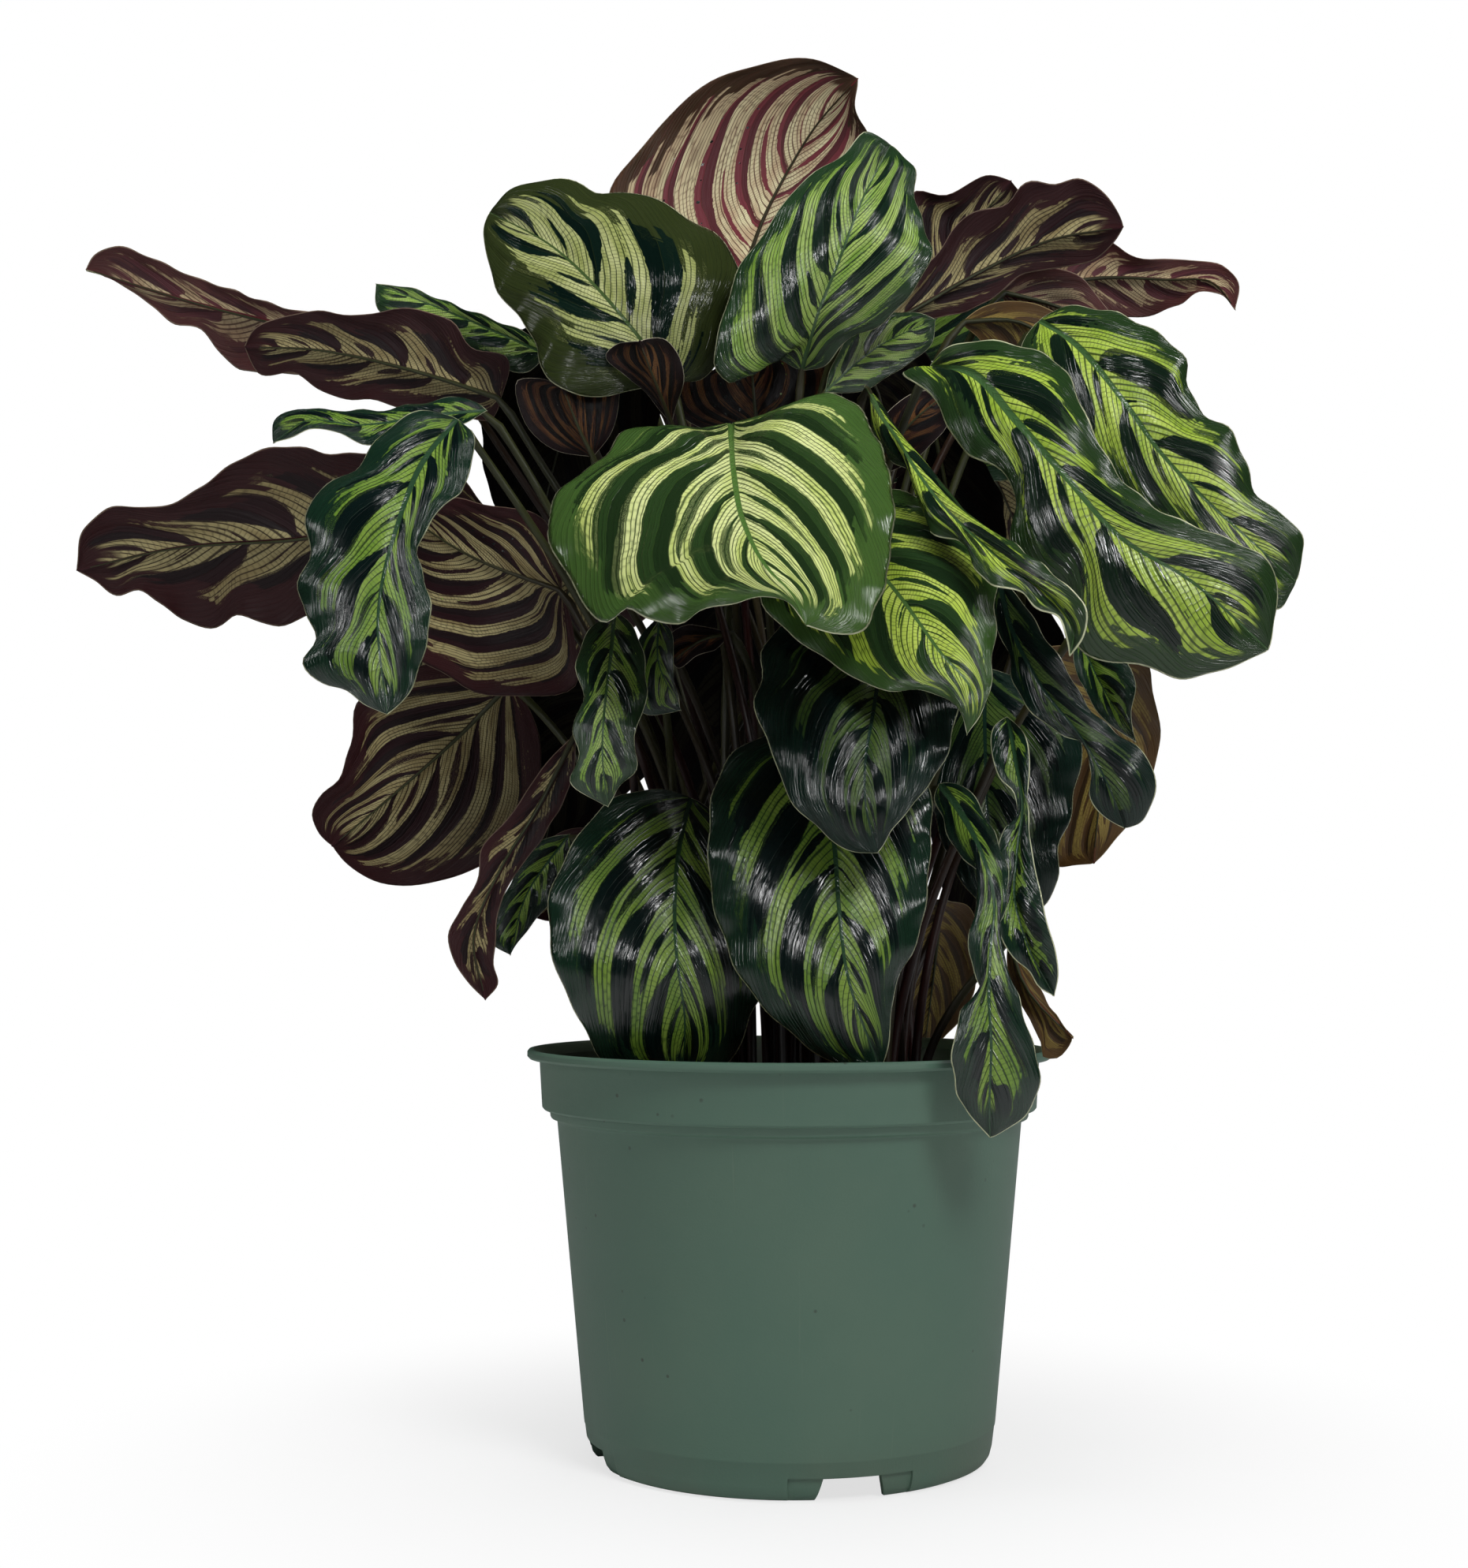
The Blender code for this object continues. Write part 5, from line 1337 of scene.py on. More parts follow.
# The blade's relief: quilting in waves of (height, how many to a blotch, lag), a groove over the rib and
# ruffles at the margin
QUILT_HEIGHT = 1.2
QUILT_WAVES = ((0.6, 1, 0.07), (0.25, 2, 0.12), (0.15, 5, 0.03))
QUILT_SKEW = 0.8
QUILT_FULLNESS = 0.8
QUILT_END_EASE = 0.4
QUILT_FULL_WIDTH = 30.0
QUILT_LEAST = 0.2
GROOVE_DEPTH = 0.55
GROOVE_WIDTH = 1.7
RUFFLE_HEIGHT = 0.9
RUFFLE_LENGTH = 19.0
RUFFLE_TURN = 3
RUFFLE_CROWD = 5
RUFFLE_END_EASE = 0.5

# The stalk, its knee below the blade, and the rib that carries it on under the blade
STALK_STEPS = 30
STALK_SIDES = 10
KNEE_LENGTH = 14.0
KNEE_SWELL = 0.5
KNEE_MIDDLE = 0.5
KNEE_SPREAD = 0.4
RIB_ROWS = slice(1, -3, 3)
RIB_START_RADIUS = 1.45
RIB_END_RADIUS = 0.25
RIB_THINNING = 0.7
RIB_SINK = 0.85
BLADE_SINK = 0.3
LAST_SHARE = 1.5

# How closely the foot and the rings of a stalk have to meet the model's corners
FOOT_SLACK = 0.02
WORST_MISFIT = 1.0


@dataclass(frozen=True)
class Blade:
    """A blade's fine surface: a grid of points, the way that its upper side faces at each, its map and its
    shares for the pattern, and its columns from -1 at one margin to 1 at the other."""

    surface: np.ndarray
    up: np.ndarray
    map: np.ndarray
    shares: np.ndarray
    across: np.ndarray


@dataclass(frozen=True)
class Skin:
    """A closed mesh: its corners, its faces, and each corner's map and shares."""

    points: np.ndarray
    faces: list
    map: np.ndarray
    shares: np.ndarray


class Leaf:
    """One leaf: its blade, the rib under it and the stalk that it stands on."""

    def __init__(self, drawing: FrontLeaf | BackLeaf, number: int) -> None:
        """Takes the leaf's lines.

        Args:
            drawing: the lines that the leaf is drawn by.
            number: the leaf's place in the list of leaves, which turns its waves.
        """
        self.drawing = drawing
        self.name = f"leaf_{drawing.name}"
        self.rib = np.reshape(drawing.rib, (-1, 3))
        self.phase = number * PHASE_STEP
        self.seed = (number * SEED_STEP) % 1.0

    def lines(self, shares: np.ndarray) -> tuple:
        """The leaf's lines.

        Args:
            shares: how far along the leaf each wanted point lies.

        Returns:
            The rib, the two margins, and which way round they go.
        """
        leaf = self.drawing
        rib = smooth_curve(self.rib, shares)
        if isinstance(leaf, FrontLeaf):
            one = self.margin(leaf.one, leaf.lean[0], (), rib, shares)
            two = self.margin(leaf.two, leaf.lean[1], leaf.two_back, rib, shares)
            run = np.gradient(rib[:, :2], axis=0)
            wide = two[:, [0, 2]] - one[:, [0, 2]]
            turn = np.sign(np.sum(wide[:, 0] * run[:, 1] - wide[:, 1] * run[:, 0]))
            return sight(rib), one, two, turn * leaf.shows.value
        run = unit(np.gradient(rib, axis=0))
        across = unit(np.cross(run, np.asarray(leaf.up, float)))
        up = np.cross(across, run)
        skew, fullness = BACK_OUTLINE
        half = leaf.width / 2 * np.sin(math.pi * np.clip(shares, 0, 1) ** skew) ** fullness
        reach, fall = across * half[:, None], up * (leaf.droop * half)[:, None]
        return rib, rib - reach - fall, rib + reach - fall, 1.0

    def margin(
        self, drawn: tuple, lean: float | tuple, back: tuple, rib: np.ndarray, shares: np.ndarray,
    ) -> np.ndarray:
        """One margin of a front leaf: on its outline, and as far behind the rib as its reach times its lean.

        Args:
            drawn: the margin as it is drawn.
            lean: how far it goes back for each millimetre of reach, as one number or from base to tip.
            back: how much further back its first points are.
            rib: the rib's drawn points.
            shares: how far along the leaf each of them lies.

        Returns:
            The margin's places, a row each.
        """
        flat = [self.rib[0, :2], *np.reshape(drawn, (-1, 2)), self.rib[-1, :2]]
        points = np.column_stack([flat, np.zeros(len(flat))])
        points[1:1 + len(back), 2] = back
        outline = smooth_curve(points, shares)
        reach = np.linalg.norm(outline[:, :2] - rib[:, :2], axis=1)
        lean = np.atleast_1d(lean)
        slope = np.interp(shares, np.linspace(0, 1, len(lean)), lean)
        depth = rib[:, 2] + slope * reach + outline[:, 2]
        return sight(np.column_stack([outline[:, :2], depth]))

    def blade(self, along: np.ndarray, across: np.ndarray) -> tuple[np.ndarray, np.ndarray]:
        """The blade's middle surface. Each half arches up between the rib and its margin, by a parabola, and
        the margin waves by a sine that grows with the square of the reach.

        Args:
            along: the rows, as shares of the length.
            across: the columns, from -1 at one margin to 1 at the other.

        Returns:
            The surface, and the way that its upper side faces.
        """
        rib, one, two, turn = self.lines(along)
        run = unit(np.gradient(rib, axis=0))
        waves = max(FEWEST_WAVES, path_length(rib)[-1] / WAVE_LENGTH)
        halves = []
        for edge, way, lag in ((one, 1.0, 0.0), (two, -1.0, WAVE_LAG)):
            half = edge - rib
            out = np.linalg.norm(half, axis=1)
            up = unit(np.cross(run, half) * way) * turn
            beat = np.sin(FULL_TURN * waves * along + self.phase + lag) * np.sin(math.pi * along)
            halves.append((half, out, up, beat * self.drawing.wave))
        places = []
        for place in across:
            half, out, up, beat = halves[0] if place < 0 else halves[1]
            reach = abs(place)
            lift = self.drawing.arch * out * 4 * reach * (1 - reach) + beat * reach**2
            places.append(rib + half * reach + up * lift[:, None])
        surface = np.stack(places, axis=1)
        up = np.cross(np.gradient(surface, axis=1), np.gradient(surface, axis=0))
        return surface, unit(up) * turn

    def model_rows(self) -> np.ndarray:
        """How far along the leaf each row of the model's blade lies."""
        rib = self.lines(np.linspace(0, 1, MODEL_LENGTH_STEPS))[0]
        rows = FEWEST_ROWS + int(path_length(rib)[-1] / ROW_LENGTH)
        return np.concatenate([[0.0], np.linspace(FIRST_ROW, LAST_ROW, rows), [1.0]])

    def stalk_path(self, shares: np.ndarray, foot: np.ndarray, bend: float) -> np.ndarray:
        """Points down a stalk from the blade's base to the soil: a bow that leaves the soil upright.

        Args:
            shares: how far down each wanted point lies.
            foot: where the stalk stands, as (x, y).
            bend: how long it stays upright, as a share of its span.

        Returns:
            The wanted points, a row each.
        """
        rib = self.blade(self.model_rows(), np.array(MODEL_COLUMNS))[0][:, len(MODEL_COLUMNS) // 2]
        ground = np.array([*foot, SOIL_TOP + STALK_RISE])
        span = np.linalg.norm(rib[0] - ground)
        arrive = unit(unit(rib[1] - rib[0]) * STALK_ALONG_RIB + np.array([0.0, 0.0, STALK_UPRIGHT]))
        below = rib[0] - arrive * span * STALK_ARRIVAL
        above = ground + np.array([0.0, 0.0, bend]) * span
        return bow((rib[0], below, above, ground), shares)

    def stalk(self, node: bpy.types.Object) -> np.ndarray:
        """Points up the stalk, from the bottom of its hole to the blade. The foot is read from the model's
        node, and of the bends that the model tries it has the one whose rings meet the node's corners.

        Args:
            node: the model's node.

        Returns:
            The points, a row each.
        """
        corners = np.empty(len(node.data.vertices) * 3)
        node.data.vertices.foreach_get("co", corners)
        corners = np.unique(np.round(corners.reshape(-1, 3) / MM, 3), axis=0)
        bottom = corners[np.abs(corners[:, 2] - (SOIL_TOP - HOLE_DEPTH)) < FOOT_SLACK]
        foot = bottom[:, :2].mean(axis=0)
        rings = np.linspace(0, 1, STALK_RINGS)[1:]
        radii = np.linspace(STALK_NECK_RADIUS, STALK_FOOT_RADIUS, STALK_RINGS + 1)[1:-1]

        def misfit(bend: float) -> float:
            """How far the model's corners are from the rings of a stalk with this bend."""
            centres = self.stalk_path(rings, foot, bend)
            nearest = np.linalg.norm(corners[:, None] - centres[None], axis=2).min(axis=0)
            return float(np.abs(nearest - radii).sum())

        bend = min(STALK_BENDS, key=misfit)
        if misfit(bend) > WORST_MISFIT:
            LOG.warning("%s: the stalk is %.1f mm off the model's", self.name, misfit(bend))
        path = self.stalk_path(np.linspace(0, 1, STALK_STEPS), foot, bend)
        return np.vstack([path, [*foot, SOIL_TOP - HOLE_DEPTH]])[::-1]

    def fine_blade(self) -> Blade:
        """The fine surface with its relief: quilting along the side veins, a groove over the rib and small
        ruffles at the margin. Each is a sine or a bell of the distance along the rib or from it.

        Returns:
            The blade.
        """
        length = path_length(self.lines(np.linspace(0, 1, LENGTH_STEPS))[0])[-1]
        rows = int(np.clip(length / ROW_STEP, FEWEST_FINE_ROWS, MOST_FINE_ROWS))
        even = np.linspace(0, 1, rows)
        along = (1 - END_CROWD) * even + END_CROWD * (0.5 - 0.5 * np.cos(math.pi * even))
        along = NEAR_END + along * (1 - 2 * NEAR_END)
        even = np.linspace(-1, 1, ACROSS_STEPS + 1)
        across = (1 - EDGE_CROWD) * even + EDGE_CROWD * np.sin(even * math.pi / 2)
        surface, up = self.blade(along, across)
        half = ACROSS_STEPS // 2
        steps = np.linalg.norm(np.diff(surface, axis=1), axis=2)
        left = np.cumsum(steps[:, :half][:, ::-1], axis=1)[:, ::-1]
        right = np.cumsum(steps[:, half:], axis=1)
        reach = np.hstack([-left, np.zeros((rows, 1)), right])
        whole = np.where(across < 0, left[:, :1], right[:, -1:])
        share = np.abs(across)[None, :] * np.ones((rows, 1))
        run = path_length(surface[:, half])[:, None]
        straight, bent = self.drawing.veins
        lateral = run - whole.max() * (straight * share + bent * share**2)
        finer = float(np.clip(FULL_LENGTH / length, *PATTERN_SCALE))

        bump = np.sin(math.pi * along[:, None])
        turns = lateral * finer / LEAF_PITCH + self.seed * SEED_TURNS + np.sign(reach) * SIDE_TURNS
        quilt = sum(share * np.cos(FULL_TURN * count * (turns + lag)) for share, count, lag in QUILT_WAVES)
        swell = np.sin(math.pi * share**QUILT_SKEW) ** QUILT_FULLNESS * bump**QUILT_END_EASE
        relief = QUILT_HEIGHT * quilt * swell * np.clip(whole / QUILT_FULL_WIDTH, QUILT_LEAST, 1.0)
        relief -= GROOVE_DEPTH * np.exp(-((reach / GROOVE_WIDTH) ** 2))
        ruffle = np.sin(FULL_TURN * run / RUFFLE_LENGTH + self.phase * RUFFLE_TURN + np.sign(reach))
        relief += RUFFLE_HEIGHT * ruffle * share**RUFFLE_CROWD * bump**RUFFLE_END_EASE
        shares = [along[:, None] + 0 * share, share, np.full_like(share, self.seed)]
        return Blade(
            surface=surface + up * relief[..., None],
            up=up,
            map=np.stack([lateral, reach, whole - np.abs(reach)], axis=-1) * finer,
            shares=np.stack(shares, axis=-1),
            across=across,
        )

    def blade_mesh(self, blade: Blade) -> tuple[Skin, np.ndarray]:
        """The blade as closed loops, one for each row, over the upper side and back under it, closed onto a
        point at each end.

        Args:
            blade: the fine surface.

        Returns:
            The skin, and each face's material number.
        """
        surface, across = blade.surface, blade.across
        round_off = np.sqrt(np.clip(1 - np.abs(across) ** EDGE_ROUNDING, 0, 1))
        thick = blade.up * (THICKNESS / 2 * round_off)[None, :, None]
        loops = np.concatenate([surface + thick, (surface - thick)[:, -2:0:-1]], axis=1)
        rows, sides = loops.shape[:2]
        rib = surface[:, len(across) // 2]
        poles = [
            rib[0] * (1 + POLE_REACH) - rib[1] * POLE_REACH,
            rib[-1] * (1 + POLE_REACH) - rib[-2] * POLE_REACH,
        ]
        upper_sides = np.arange(sides) < len(across) - 1
        numbers = np.where(np.tile(upper_sides, rows + 1), 0, 1)

        def around(values: np.ndarray) -> np.ndarray:
            """The values of the surface's points, for the corners."""
            looped = np.concatenate([values, values[:, -2:0:-1]], axis=1).reshape(-1, 3)
            middle = values[:, len(across) // 2]
            return np.vstack([looped, middle[0], middle[-1]])

        points = np.vstack([loops.reshape(-1, 3), poles])
        return Skin(points, closed_faces(rows, sides), around(blade.map), around(blade.shares)), numbers

    def stalk_mesh(self, blade: Blade, node: bpy.types.Object) -> Skin:
        """The stalk and the rib under the blade as one tube, which swells to a knee below the blade by a bell
        and runs out at the tip.

        Args:
            blade: the fine surface.
            node: the model's node.

        Returns:
            The skin, whose map holds how far up and how far round the tube a corner is.
        """
        stalk = self.stalk(node)
        middle = len(blade.across) // 2
        rib = blade.surface[RIB_ROWS, middle]
        up = blade.up[RIB_ROWS, middle]
        stalk_run = path_length(stalk)
        length = stalk_run[-1]
        from_knee = ((length - stalk_run) - KNEE_LENGTH * KNEE_MIDDLE) / (KNEE_LENGTH * KNEE_SPREAD)
        taper = (STALK_NECK_RADIUS - STALK_FOOT_RADIUS) * stalk_run / length
        stalk_radius = STALK_FOOT_RADIUS + taper + KNEE_SWELL * np.exp(-(from_knee**2))
        rib_run = path_length(rib)
        thinned = (rib_run / rib_run[-1]) ** RIB_THINNING
        rib_radius = RIB_START_RADIUS + (RIB_END_RADIUS - RIB_START_RADIUS) * thinned
        rib = rib - up * (rib_radius * RIB_SINK + THICKNESS * BLADE_SINK)[:, None]
        path = np.vstack([stalk[:-1], rib])
        radius = np.concatenate([stalk_radius[:-1], rib_radius])
        way = unit(np.gradient(path, axis=0))
        flat = np.linalg.svd(path - path.mean(axis=0), full_matrices=False)[2][2]
        side = unit(flat - way * (way @ flat)[:, None])
        normal = np.cross(way, side)
        turn = np.linspace(0, FULL_TURN, STALK_SIDES, endpoint=False)
        rings = (
            path[:, None]
            + radius[:, None, None] * np.cos(turn)[None, :, None] * side[:, None]
            + radius[:, None, None] * np.sin(turn)[None, :, None] * normal[:, None]
        )
        run = path_length(path)[:, None] + 0 * turn
        around = np.abs(turn - math.pi)[None, :] + 0 * run
        mapped = np.stack([run, around, 0 * run], axis=-1).reshape(-1, 3)
        share = np.clip(run / length, 0, LAST_SHARE)
        shares = np.stack([share, 0 * run, 0 * run + self.seed], axis=-1).reshape(-1, 3)
        ends = [0, -1]
        return Skin(
            points=np.vstack([rings.reshape(-1, 3), path[0], path[-1] + way[-1] * radius[-1]]),
            faces=closed_faces(len(path), STALK_SIDES),
            map=np.vstack([mapped, mapped[ends]]),
            shares=np.vstack([shares, shares[ends]]),
        )

    def build(self, node: bpy.types.Object, finishes: Finishes) -> bpy.types.Object:
        """Builds the leaf in place of its node.

        Args:
            node: the model's node.
            finishes: the leaf materials.

        Returns:
            The finished piece.
        """
        short = self.drawing.name
        fine = self.fine_blade()
        blade, numbers = self.blade_mesh(fine)
        stalk = self.stalk_mesh(fine, node)
        shift = len(blade.points)
        stalk_faces = [[corner + shift for corner in face] for face in stalk.faces]
        numbers = np.concatenate([numbers, np.full(len(stalk_faces), 2)])
        usual = BACK if isinstance(self.drawing, BackLeaf) else DEEP
        materials = [
            finishes.blade(UPPER_FINISHES.get(short, usual)),
            finishes.blade(UNDER_FINISHES.get(short, MAROON)),
            finishes.stalk,
        ]
        points = np.vstack([blade.points, stalk.points])
        piece = add_piece(f"{self.name}_fine", points, blade.faces + stalk_faces, materials, numbers)
        add_attribute(piece, "leaf_map", np.vstack([blade.map, stalk.map]))
        add_attribute(piece, "leaf_share", np.vstack([blade.shares, stalk.shares]))
        return piece


# The pot: (radius, height) in millimetres, from the axis under the floor round the outside to the axis inside
POT_PROFILE = (
    (0.0, 0.0), (52.0, 0.0), (55.0, 10.6), (93.4, 10.6), (89.8, 0.0),
    (92.8, 0.0), (95.0, 0.9), (96.6, 3.2), (97.6, 7.0), (98.9, 16.8), (99.2, 17.2), (99.3, 18.0),
    (112.8, 160.2), (113.3, 161.2), (115.8, 162.2), (116.2, 163.0), (116.5, 166.0), (119.4, 166.4),
    (120.2, 167.4), (121.6, 190.3), (126.4, 190.6), (127.5, 191.8), (127.5, 193.9), (126.7, 195.0),
    (124.6, 195.0), (121.8, 193.6), (118.9, 190.0), (118.2, 171.0), (111.6, 163.0), (110.7, 158.0),
    (97.6, 19.0), (95.4, 13.2), (52.4, 13.2), (49.4, 2.6), (0.0, 2.6),
)
POT_RIM_POINT = 23
POT_FACETS = 192
ROUNDING_WIDTH = 0.35
ROUNDING_STEPS = 2
ROUNDING_ANGLE = math.radians(32)
SHARP_ANGLE = math.radians(40)

# The drain notches, and the shallow pocket round each
NOTCH_TURN = math.radians(17.0)
NOTCH_COUNT = 4
NOTCH_WIDTH = 27.0
NOTCH_HEIGHT = 10.0
NOTCH_INNER = 78.0
NOTCH_OUTER = 108.0
NOTCH_FLARE = 3.0
NOTCH_FACES = ((3, 2, 1, 0), (4, 5, 6, 7), (0, 1, 5, 4), (1, 2, 6, 5), (2, 3, 7, 6), (3, 0, 4, 7))
POCKET_TURN = math.radians(17.5)
POCKET_STEPS = 24
POCKET_PROFILE = (
    (91.4, -1.0), (93.6, 0.9), (95.2, 3.2), (96.2, 7.0), (96.7, 10.6), (108.0, 10.6), (108.0, -1.0),
)
BELOW_GROUND = -1.0

# The plastic's marks: how many waves or cells there are to the metre, and how many scratches round the pot
# and up it. A pair is where a mark begins and where it is full
PLASTIC_CLOUDS = 14.0
PLASTIC_GRAIN = 900.0
SCRATCHES_ROUND = 60.0
SCRATCHES_UP = 9.0
SCRATCH = (0.66, 0.74)
SPECKS = 95.0
SPECK = (0.05, 0.11)
SPECK_PATCHES = 21.0
SPECK_PATCH = (0.6, 0.66)
SPLASH_TOP = 0.03


def turned_mesh(profile: tuple, facets: int) -> tuple[np.ndarray, list, np.ndarray]:
    """A solid of revolution.

    Args:
        profile: (radius, height) from the axis below to the axis above, round the outside.
        facets: how many sides it has.

    Returns:
        The corners, the faces, and the number of the profile step that each face lies on.
    """
    outline = np.array(profile[1:-1])
    turn = np.linspace(0, FULL_TURN, facets, endpoint=False)
    radius, height = outline[:, :1], outline[:, 1:]
    rings = np.stack([radius * np.cos(turn), radius * np.sin(turn), height + 0 * turn], axis=-1)
    points = np.vstack([rings.reshape(-1, 3), (0.0, 0.0, profile[0][1]), (0.0, 0.0, profile[-1][1])])
    steps = np.concatenate([
        np.repeat(np.arange(1, len(outline)), facets), np.zeros(facets), np.full(facets, len(outline)),
    ])
    return points, closed_faces(len(outline), facets), steps.astype(int)


@dataclass
class Pot:
    """The nursery pot: one moulded shell with a stepped collar, a lip and four drain notches."""

    outside: Colour = tint(74, 104, 88)
    inside: Colour = tint(44, 58, 38)
    dust: Colour = tint(120, 132, 112)
    dirt: Colour = tint(48, 54, 44)
    splash: Colour = tint(92, 92, 76)

    def plastic(self, name: str, colour: Colour, dusty: float) -> bpy.types.Material:
        """Matte moulded plastic, with faint flow marks, fine scratches, specks of soil and a splashed foot.

        Args:
            name: the material's name.
            colour: the plastic's own colour.
            dusty: how much dust lies on it, from 0 to 1.

        Returns:
            The material.
        """
        material, nodes, shader = new_material(name)
        place = nodes.place()
        x, y, z = nodes.parts(place)
        cloud = nodes.noise(place, PLASTIC_CLOUDS, 4.0)
        grain = nodes.noise(place, PLASTIC_GRAIN, 2.0)
        around = y.to("ARCTAN2", x)
        scratches = nodes.noise(nodes.vector(around * SCRATCHES_ROUND, z * SCRATCHES_UP, 0.0), 1.0, 5.0)
        scratched = nodes.step(scratches, *SCRATCH)
        patch = nodes.step(nodes.noise(place, SPECK_PATCHES, 1.0), *SPECK_PATCH)
        speck = (1.0 - nodes.step(nodes.cells(place, SPECKS), *SPECK)) * patch
        pale = nodes.mix(nodes.step(cloud, 0.3, 0.75) * 0.35 * dusty, colour, self.dust)
        pale = nodes.mix(scratched * 0.10, pale, self.dust)
        pale = nodes.mix(speck * 0.75, pale, self.dirt)
        low = nodes.step(z, SPLASH_TOP, 0.0) * nodes.step(cloud, 0.4, 0.6) * 0.25
        height = grain * 0.5 + cloud * 1.5 - scratched * 0.4
        relief = Relief(height, 0.25, 0.5 * MM)
        nodes.dress(shader, nodes.mix(low, pale, self.splash), cloud.between(0.5, 0.64), relief)
        return material

    def build(self) -> bpy.types.Object:
        """Builds the pot: a turned shell, with its notches cut and its edges rounded.

        Returns:
            The finished piece.
        """
        points, faces, steps = turned_mesh(POT_PROFILE, POT_FACETS)
        numbers = np.where(steps > POT_RIM_POINT, 1, 0)
        materials = [
            self.plastic("pot outside", self.outside, 0.35), self.plastic("pot inside", self.inside, 0.8),
        ]
        pot = add_piece("pot_fine", points, faces, materials, numbers)
        turns = [NOTCH_TURN + number * FULL_TURN / NOTCH_COUNT for number in range(NOTCH_COUNT)]
        cutters = [make(turn, materials) for turn in turns for make in (self.pocket, self.notch)]
        for cutter in cutters:
            modifier = pot.modifiers.new("notch", "BOOLEAN")
            modifier.operation = "DIFFERENCE"
            modifier.object = cutter
        rounding = pot.modifiers.new("rounding", "BEVEL")
        rounding.width = ROUNDING_WIDTH * MM
        rounding.segments = ROUNDING_STEPS
        rounding.limit_method = "ANGLE"
        rounding.angle_limit = ROUNDING_ANGLE
        graph = bpy.context.evaluated_depsgraph_get()
        mesh = bpy.data.meshes.new_from_object(pot.evaluated_get(graph))
        pot.modifiers.clear()
        pot.data = mesh
        for cutter in cutters:
            bpy.data.objects.remove(cutter)
        mesh.shade_smooth()
        mesh.set_sharp_from_angle(angle=SHARP_ANGLE)
        return pot

    def notch(self, turn: float, materials: list) -> bpy.types.Object:
        """One block that cuts a drain notch out of the foot, wider at the ground.

        Args:
            turn: its angle round the pot, from the front.
            materials: the pot's materials, of which the cut takes the first.

        Returns:
            The block.
        """
        round_it = ((-1, -1), (1, -1), (1, 1), (-1, 1))
        corner = np.array([(x, y, z) for z in (BELOW_GROUND, NOTCH_HEIGHT) for x, y in round_it])
        flare = np.where(corner[:, 2] < 0, NOTCH_FLARE, 0.0)
        along = corner[:, 0] * (NOTCH_WIDTH / 2 + flare)
        out = corner[:, 1] * (NOTCH_OUTER - NOTCH_INNER) / 2
        middle = (NOTCH_INNER + NOTCH_OUTER) / 2
        points = np.column_stack([
            middle * math.sin(turn) + along * math.cos(turn) - out * math.sin(turn),
            -middle * math.cos(turn) + along * math.sin(turn) + out * math.cos(turn),
            corner[:, 2],
        ])
        return add_piece("notch", points, NOTCH_FACES, materials[:1])

    def pocket(self, turn: float, materials: list) -> bpy.types.Object:
        """One stretch of a ring that cuts the shallow pocket round a drain notch: a profile swept through an
        angle about the pot's axis.

        Args:
            turn: the angle of its middle round the pot, from the front.
            materials: the pot's materials, of which the cut takes the first.

        Returns:
            The stretch of ring.
        """
        turns = turn + np.linspace(-POCKET_TURN, POCKET_TURN, POCKET_STEPS)
        radius, height = np.array(POCKET_PROFILE).T
        x, y = np.outer(np.sin(turns), radius), -np.outer(np.cos(turns), radius)
        rings = np.stack([x, y, np.tile(height, (POCKET_STEPS, 1))], axis=-1)
        sides = len(radius)
        last = (POCKET_STEPS - 1) * sides
        faces = loop_faces(POCKET_STEPS, sides)
        faces += [list(range(sides - 1, -1, -1)), list(range(last, last + sides))]
        return add_piece("pocket", rings.reshape(-1, 3), faces, materials[:1])


# The soil: its side as (radius, height) in millimetres, from the axis below, and its uneven top as a sum of
# waves, each finer one lower
SOIL_SIDE = ((0.0, 3.0), (49.0, 3.0), (52.0, 13.6), (94.6, 13.6), (97.0, 19.2), (109.9, 156.0))
SOIL_RINGS = 64
SOIL_SECTORS = 160
SOIL_INNER_RING = 1.2
SOIL_DIP = 2.0
SOIL_WAVES = 26
SOIL_WAVE_LENGTH = 60.0
SOIL_WAVE_STEP = 0.87
SOIL_WAVE_HEIGHT = 1.68
SOIL_SEED = 7

# What is strewn on it, in millimetres: each pair is the least and the most
CHIP_COUNT = 520
CHIP_SIDES = 6
CHIP_GAP = 7.0
CHIP_UNEVEN = (0.7, 1.25)
CHIP_TILT = (-0.3, 0.3)
CHIP_RISE = 0.3
GRAIN_SHARE = 0.22
GRAIN_LENGTH = (0.9, 2.2)
GRAIN_WIDTH = (0.7, 1.0)
GRAIN_HEIGHT = 0.7
BARK_LENGTH = (1.6, 6.5)
BARK_WIDTH = (0.25, 0.6)
BARK_HEIGHT = (0.6, 1.6)

# The soil's marks: how many waves or cells there are to the metre
CRUMBS = 260.0
EARTH_CLOUDS = 40.0
EARTH_CELLS = 420.0
EARTH_PICK = 330.0
CHIP_CLOUDS = 210.0


